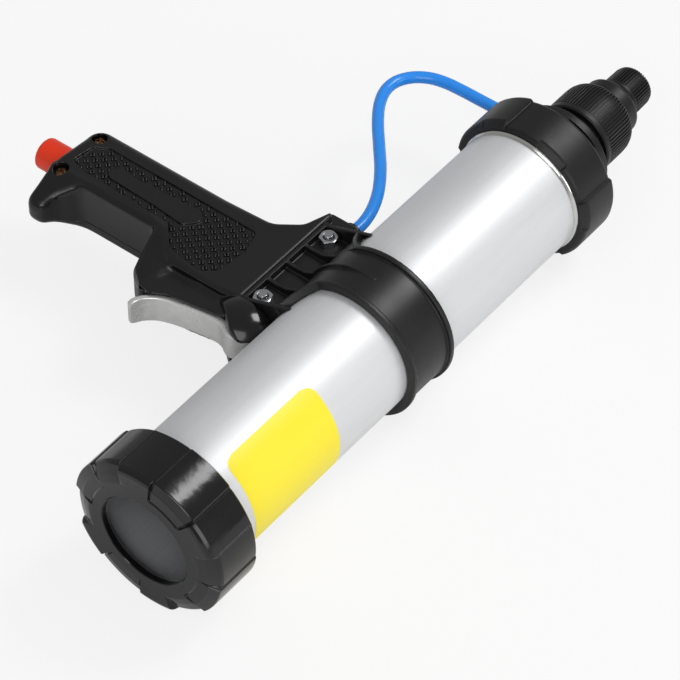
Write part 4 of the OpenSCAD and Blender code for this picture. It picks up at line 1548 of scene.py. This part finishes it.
    def pellet(self, length: float, width: float, height: float) -> Object:
        """Builds one long pellet with rounded ends.

        Args:
            length: Half its length in mm.
            width: Half its width in mm.
            height: Its height in mm.

        Returns:
            The linked object.
        """
        mesh = bmesh.new()
        rings = []
        for level, share in ((0.0, 1.0), (0.4, 0.86), (0.75, 0.6), (1.0, 0.2)):
            ring = []
            for k in range(12):
                turn = math.radians(15 + 30 * k)
                u = (length - width) * (1 if math.cos(turn) > 0 else -1) * share**0.5
                u += width * share * math.cos(turn)
                v = width * share * math.sin(turn)
                ring.append(mesh.verts.new((u * MM, v * MM, level * height * MM)))
            rings.append(ring)
        for near, far in zip(rings, rings[1:]):
            for k in range(12):
                mesh.faces.new((near[k - 1], near[k], far[k], far[k - 1]))
        mesh.faces.new(rings[-1])
        return finished("pellet", mesh, 60.0)

    def pellets(self) -> None:
        """Builds the woven field of small raised pellets on both side panels."""
        seed = self.pellet(1.3, 0.66, 1.05)
        first, across, along = (np.array(v) for v in self.lattice)
        tilt = math.atan2(across[1], across[0]) + math.pi / 2
        steps = range(-40, 40)
        flat = np.array(
            [
                first + (i + share) * across + j * along
                for i in steps for j in steps for share in (0.33, 0.67)
            ]
        )
        flat = flat[self.sunk(flat[:, 0], flat[:, 1]) < -0.7]
        floor = self.sizes.half - self.panel_depth - 0.05
        places = np.array([(-a, -b, z) for z in (floor, -floor) for a, b in flat])
        turns = np.zeros_like(places)
        turns[len(flat) :, 0] = math.pi
        turns[:, 2] = tilt
        piece = self.copies.run("grip_pellets", seed, places, turns, "black_gloss", 0.08)
        self.dresser.dress(piece, "body", "handle_plastic", finish="black_gloss")


class ClampSet(Maker):
    """Clamp that holds the handle to the barrel."""

    # Thickness of the webs at the legs' ends and below the band, and of the fin
    end_web: float = 1.8
    band_web: float = 1.6
    fin: float = 1.2
    # The legs' plates: depth of the top, outer height and fillet
    plates: tuple = ((15, 9.6, 0.8), (39.7, 12.6, 0.5))

    def web(
        self, s: Points, d: Points, z: Points, at: float, width: float, outline: Sequence
    ) -> Points:
        """Distance to a web across both legs, its outline given as depths and heights."""
        plan = outline_distance(d, np.abs(z), outline)
        return rounded(plan, np.abs(s - at) - width / 2, 0.35)

    def band(self, s: Points, d: Points, z: Points) -> Points:
        """Distance to the band round the barrel, wider near the legs, with two lips.

        Args:
            s, d, z: Places of the points in mm.

        Returns:
            Distances in mm.
        """
        k = self.sizes
        side, radius = np.abs(z), np.hypot(d, z)
        half = (k.band_back - k.band_s) / 2
        flare = np.interp(
            side / np.maximum(radius, 1), [0.0, 0.55, 0.86, 1.0], [25.5, 25.5, half, half]
        )
        reach = np.where(d > 0, np.maximum(flare, half), half)
        off = np.abs(s - (k.band_back + k.band_s) / 2)
        gap = 7.2 - side - np.where(d > 0, 0.0, 40.0)
        shell = rounded(slab(radius, k.band_in, k.band_out), (off - reach) * 0.8, 0.4)
        lip = np.abs(off - (reach - 0.9)) * 0.8 - 0.9
        lip = rounded(slab(radius, k.band_in, k.band_lip_r), lip, 0.4)
        return blended(np.maximum(shell, gap), np.maximum(lip, gap), 0.6)

    def shape(self, s: Points, d: Points, z: Points) -> Points:
        """Distance to the clamp.

        Args:
            s, d, z: Places of the points in mm.

        Returns:
            Distances in mm.
        """
        k = self.sizes
        side, radius = np.abs(z), np.hypot(d, z)
        middle = (k.band_s + k.band_back) / 2
        body = self.band(s, d, z)
        for top, outer, fillet in self.plates:
            plan = [(k.leg_s, top), (k.leg_back, top)]
            plan += [(k.leg_back, k.leg_drop), (k.leg_s, k.leg_drop)]
            plate = rounded(outline_distance(s, d, plan), slab(side, k.leg_in, outer), 0.4)
            body = blended(body, plate, fillet)
        sloped = [(41.5, 7.2), (41.5, 12.6), (38.5, 12.6), (18, 20.6), (14, 18), (20, 7.2)]
        for at in (k.leg_s + 0.9, k.leg_back - 0.9):
            body = blended(body, self.web(s, d, z, at, self.end_web, sloped), 0.5)
        hollow = [
            (41.5, 7.2), (41.5, 12.6), (36, 12.0), (31, 12.4), (26, 15.0), (21, 20.4),
            (17, 25.0), (13, 27.8), (10, 24), (20, 7.2),
        ]
        for at in (k.band_s + 0.9, middle, k.band_back - 0.9):
            body = blended(body, self.web(s, d, z, at, self.band_web, hollow), 0.5)
        crest = 29.3 + np.clip((d + 2) / 14, 0, 1) * 1.4
        crown = np.maximum(radius - crest, 26 - radius)
        fin = rounded(np.abs(s - middle) - self.fin / 2, crown, 0.3)
        fin = np.maximum(fin, np.maximum(-(d + 2), 7.2 - side))
        body = blended(body, fin, 0.5)
        body = np.maximum(body, k.band_in - radius)
        return np.maximum(body, np.minimum(k.leg_in - side, d - 20))

    def build(self) -> None:
        """Builds and dresses the clamp."""
        k = self.sizes
        r = k.band_lip_r + 0.45
        room = Box((k.leg_s, -r, -r), (k.leg_back, k.leg_drop, r))
        clamp = mesh_of("clamp_moulded", self.shape, room, cell=0.55)
        self.dresser.dress(clamp, "body", "black_satin", ["clamp"])


class Hardware(Maker):
    """Clamp bolts and nuts, handle screws and the red inlet plug."""

    # The nut, the socket-head bolt and its rolled thread
    nut_across: float = 7.0
    nut_hole_r: float = 2.05
    bolt_r: float = 1.98
    head_r: float = 3.5
    socket_across: float = 3.1
    socket_depth: float = 2.0
    thread_len: float = 6.0
    pitch: float = 0.7
    # Turn of the first of two equal fasteners in radians, and what the second adds
    first_turn: float = 0.35
    next_turn: float = 0.9

    def hexagon(self, s: Points, d: Points, across: float, turn: float = 0.0) -> Points:
        """Distance in plan to a hexagon.

        Args:
            s, d: Places of the points in mm.
            across: Width across the flats in mm.
            turn: Turn in degrees.

        Returns:
            Distances in mm.
        """
        sides = [math.radians(turn + 60 * k) for k in range(3)]
        return np.maximum.reduce(
            [np.abs(s * math.cos(a) + d * math.sin(a)) - across / 2 for a in sides]
        )

    def nut(self, s: Points, d: Points, z: Points) -> Points:
        """Distance to a hexagon nut with bevelled corners, its base at z = 0.

        Args:
            s, d, z: Places of the points in mm.

        Returns:
            Distances in mm.
        """
        radius, thick = np.hypot(s, d), self.sizes.nut_t
        body = self.hexagon(s, d, self.nut_across, 30.0)
        body = rounded(body, slab(z, 0.0, thick), 0.15)
        cone = np.abs(z - thick / 2) - thick / 2 + (radius - 3.35) * 0.55
        hole = self.nut_hole_r + np.clip(z - 2.7, 0.0, 0.5) * 0.7 - radius
        return np.maximum(np.maximum(body, cone), hole)

    def bolt(self, s: Points, d: Points, z: Points) -> Points:
        """Distance to a socket-head bolt whose head's top is at z = 0.

        Args:
            s, d, z: Places of the points in mm.

        Returns:
            Distances in mm.
        """
        k = self.sizes
        radius = np.hypot(s, d)
        head = rounded(radius - self.head_r, slab(z, 0.0, k.head_t), 0.35)
        socket = np.maximum(self.hexagon(s, d, self.socket_across), z - self.socket_depth)
        groove = 0.16 * np.abs(np.sin(math.pi * z / self.pitch))
        groove = np.where(z > k.bolt_end - self.thread_len, groove, 0.0)
        thread = radius - self.bolt_r + groove
        shank = rounded(thread, slab(z, 1.0, k.bolt_end), 0.45)
        return np.maximum(np.minimum(head, shank), -socket)

    def screw(self, s: Points, d: Points, z: Points) -> Points:
        """Distance to a cross-slot screw whose head's base is at z = 0.

        Args:
            s, d, z: Places of the points in mm.

        Returns:
            Distances in mm.
        """
        radius = np.hypot(s, d)
        dome = np.hypot(radius, z + 3.4) - 5.2
        head = rounded(np.maximum(radius - 2.8, dome), -z, 0.3)
        shank = np.maximum(radius - 1.2, slab(z, -16.0, 0.5))
        slot = np.minimum(slab(s, -0.42, 0.42), slab(d, -0.42, 0.42))
        slot = np.maximum(slot, np.maximum(radius - 1.9 + 0.5 * (1.8 - z), 0.75 - z))
        return np.maximum(np.minimum(head, shank), -slot)

    def build(self) -> None:
        """Builds and dresses the fasteners and the plug."""
        k = self.sizes
        nut, bolt, screw = (
            mesh_of(name, shape, Box((-r, -r, low), (r, r, high)), cell=0.2)
            for name, shape, r, low, high in (
                ("nut", self.nut, 4.2, 0, k.nut_t),
                ("bolt", self.bolt, 3.6, 0, k.bolt_end),
                ("screw", self.screw, 2.9, -16, 1.9),
            )
        )
        heads = -k.pocket_z - k.head_t
        for node, made, copy, at, height, slot in (
            ("clamp_nuts", "pressed", nut, k.bolts, k.pocket_z, "zinc_steel"),
            ("clamp_bolts", "rolled", bolt, k.bolts, heads, "zinc_steel"),
            ("handle_screws", "turned", screw, k.screws, k.screw_z, "brass"),
        ):
            places = np.array([(-s, -d, height) for s, d in at])
            turns = np.zeros_like(places)
            turns[:, 2] = self.first_turn + self.next_turn * np.arange(len(at))
            piece = self.copies.run(f"{node}_{made}", copy, places, turns, slot)
            self.dresser.dress(piece, "body", slot, [node])
        r, tip = k.plug_r, k.drop + k.plug_show
        base = k.drop - k.entry_depth + 0.2
        profile = [
            (base, 0), (base, r - 0.6), (base + 0.6, r), (tip - 1.5, r),
            (tip - 0.8, r - 0.25), (tip - 0.3, r - 0.8), (tip, r - 1.7),
            (tip, r - 2.6), (tip - 1.0, r - 3.0), (tip - 1.0, 0),
        ]
        plug = revolved(
            "inlet_plug_moulded", profile,
            centre=(-k.inlet_s, 0.0, 0.0), down=True, steps=96,
        )
        self.dresser.dress(plug, "plug", "plug_red", ["inlet_plug"])


class AirHose(Maker):
    """Blue air hose from the handle to the regulator."""

    # Places of the hose's middle line in mm of the part's frame
    route: tuple = (
        (-168.8, -37.2, 0), (-176, -37.4, 0), (-184, -39.4, 0), (-193, -43.6, 0),
        (-203, -50.4, 0), (-213, -58.8, 0), (-223, -67.2, 0), (-232, -73.4, 0),
        (-240, -76.6, 0), (-247, -76.4, 0), (-253, -72.8, 0), (-257, -67, 0),
        (-258.8, -60, 0), (-259.2, -52, 0), (-259.2, -44, 0), (-259.2, -36, 0),
        (-259.2, -25.4, 0),
    )
    radius: float = 2.5

    def smooth(self) -> list[Vector]:
        """Gives a smooth curve through the route, in mm.

        Returns:
            Points on the curve.
        """
        knots = [Vector(p) for p in self.route]
        ends = [2 * knots[0] - knots[1], *knots, 2 * knots[-1] - knots[-2]]
        points = []
        for i in range(1, len(ends) - 2):
            a, b, c, d = ends[i - 1 : i + 3]
            for t in np.linspace(0.0, 1.0, 6, endpoint=False):
                bend = (2 * a - 5 * b + 4 * c - d) * t * t
                twist = (3 * b - a - 3 * c + d) * t * t * t
                points.append(0.5 * (2 * b + (c - a) * t + bend + twist))
        points.append(knots[-1])
        return points

    def build(self) -> None:
        path = self.smooth()
        sides = 24
        points, faces = [], []
        for i, here in enumerate(path):
            ahead = path[min(i + 1, len(path) - 1)] - path[max(i - 1, 0)]
            ahead.normalize()
            up = Vector((0, 0, 1))
            across = up.cross(ahead)
            for k in range(sides):
                angle = 2 * math.pi * k / sides
                out = math.cos(angle) * across + math.sin(angle) * up
                points.append(here + self.radius * out)
        for i in range(len(path) - 1):
            for k in range(sides):
                a, b = i * sides + k, i * sides + (k + 1) % sides
                faces.append((a, b, b + sides, a + sides))
        last = (len(path) - 1) * sides
        faces.append(tuple(range(sides))[::-1])
        faces.append(tuple(last + k for k in range(sides)))
        hose = new_mesh("air_hose_tube", np.array([tuple(p) for p in points]), faces)
        self.dresser.dress(hose, "body", "hose_blue", ["air_hose"])


class Studio:
    """Camera, lamps and floor."""

    azimuth: float = 128.27
    elevation: float = 47.03
    distance: float = 1.33429
    target: tuple = (-0.12083, -0.00588, 0.0)
    # Focal length in pixels of a picture this many pixels wide, and the sensor's width
    focal_px: float = 3542.1
    picture_px: float = 680.0
    sensor_mm: float = 36.0

    def camera(self) -> None:
        """Makes the camera at the photograph's viewing angle."""
        az, el = math.radians(self.azimuth), math.radians(self.elevation)
        right = Vector((math.cos(az), math.sin(az), 0))
        out = Vector(
            (math.sin(az) * math.cos(el), -math.cos(az) * math.cos(el), math.sin(el))
        )
        up = out.cross(right)
        place = Vector(self.target) + self.distance * out
        data = bpy.data.cameras.new("view")
        camera = linked("view", data)
        camera.matrix_world = Matrix(
            [(right[i], up[i], out[i], place[i]) for i in range(3)] + [(0, 0, 0, 1)]
        )
        data.sensor_width = self.sensor_mm
        data.lens = self.focal_px / self.picture_px * self.sensor_mm
        data.clip_start = 0.01
        bpy.context.scene.camera = camera

    def lamp(self, name: str, place: Sequence[float], size: float, energy: float) -> None:
        """Makes one soft lamp that points at the tool.

        Args:
            name: Name of the lamp.
            place: Where it stands, in metres.
            size: Side of its square face in metres.
            energy: Its power in watts.
        """
        data = bpy.data.lights.new(name, "AREA")
        data.energy = energy
        data.size = size
        lamp = linked(name, data)
        lamp.location = place
        aim = Vector(self.target) - Vector(place)
        lamp.rotation_euler = aim.to_track_quat("-Z", "Y").to_euler()

    def world(self) -> None:
        """Makes a pale surround that the camera sees as white."""
        world = bpy.data.worlds.new("surround")
        bpy.context.scene.world = world
        world.use_nodes = True
        tree = world.node_tree
        tree.nodes.clear()
        seen = add_node(tree, "ShaderNodeLightPath").outputs["Is Camera Ray"]
        light, white = (
            add_node(
                tree, "ShaderNodeBackground",
                inputs={"Color": (1, 1, 1, 1), "Strength": strength},
            ).outputs[0]
            for strength in (0.34, 1.0)
        )
        mixed = add_node(tree, "ShaderNodeMixShader", inputs={0: seen, 1: light, 2: white})
        add_node(tree, "ShaderNodeOutputWorld", inputs={"Surface": mixed.outputs[0]})

    def floor(self, height: float, r: float = 30.0) -> None:
        """Makes the plain pale floor.

        Args:
            height: Its height in metres.
            r: Half its width in metres.
        """
        mesh = bpy.data.meshes.new("floor")
        corners = [(x, y, height) for x, y in ((-r, -r), (r, -r), (r, r), (-r, r))]
        mesh.from_pydata(corners, [], [(0, 1, 2, 3)])
        floor = linked("floor", mesh)
        made = bpy.data.materials.new("floor_paper")
        made.use_nodes = True
        tree = made.node_tree
        tree.nodes.clear()
        seen = add_node(tree, "ShaderNodeLightPath").outputs["Is Camera Ray"]
        share = add_node(
            tree, "ShaderNodeMath", {"operation": "MULTIPLY"}, {0: seen, 1: 0.8}
        ).outputs[0]
        paper = add_node(
            tree, "ShaderNodeBsdfDiffuse", inputs={"Color": (0.85, 0.85, 0.85, 1)}
        ).outputs[0]
        white = add_node(
            tree, "ShaderNodeEmission", inputs={"Color": (1, 1, 1, 1), "Strength": 1.0}
        ).outputs[0]
        mixed = add_node(tree, "ShaderNodeMixShader", inputs={0: share, 1: paper, 2: white})
        add_node(tree, "ShaderNodeOutputMaterial", inputs={"Surface": mixed.outputs[0]})
        mesh.materials.append(made)
        floor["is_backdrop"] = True

    def build(self) -> None:
        """Builds the whole studio."""
        self.camera()
        self.lamp("key", (-0.87, 0.38, 1.12), 0.5, 7.2)
        self.lamp("fill", (0.95, 0.5, 0.95), 1.0, 8.0)
        self.lamp("side", (-0.2, 1.3, 0.5), 0.7, 4.0)
        self.world()
        view = bpy.context.scene.view_settings
        view.view_transform = "Standard"


def main() -> None:
    """Builds every sub-assembly in order."""
    logging.basicConfig(level=logging.INFO, format="%(name)s: %(message)s")
    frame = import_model()
    before = [list(map(float, corner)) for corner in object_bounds()]
    studio = Studio()
    studio.build()
    studio.floor(before[0][2] - 0.0002)
    dresser = Dresser()
    dresser.dress_nodes(frame)
    sizes = Sizes()
    copies = Copies()
    for maker in (AirHose, BarrelSet, RegulatorSet, HandleSet, Hardware, ClampSet):
        maker(sizes, dresser, copies).build()


if __name__ == "__main__":
    main()
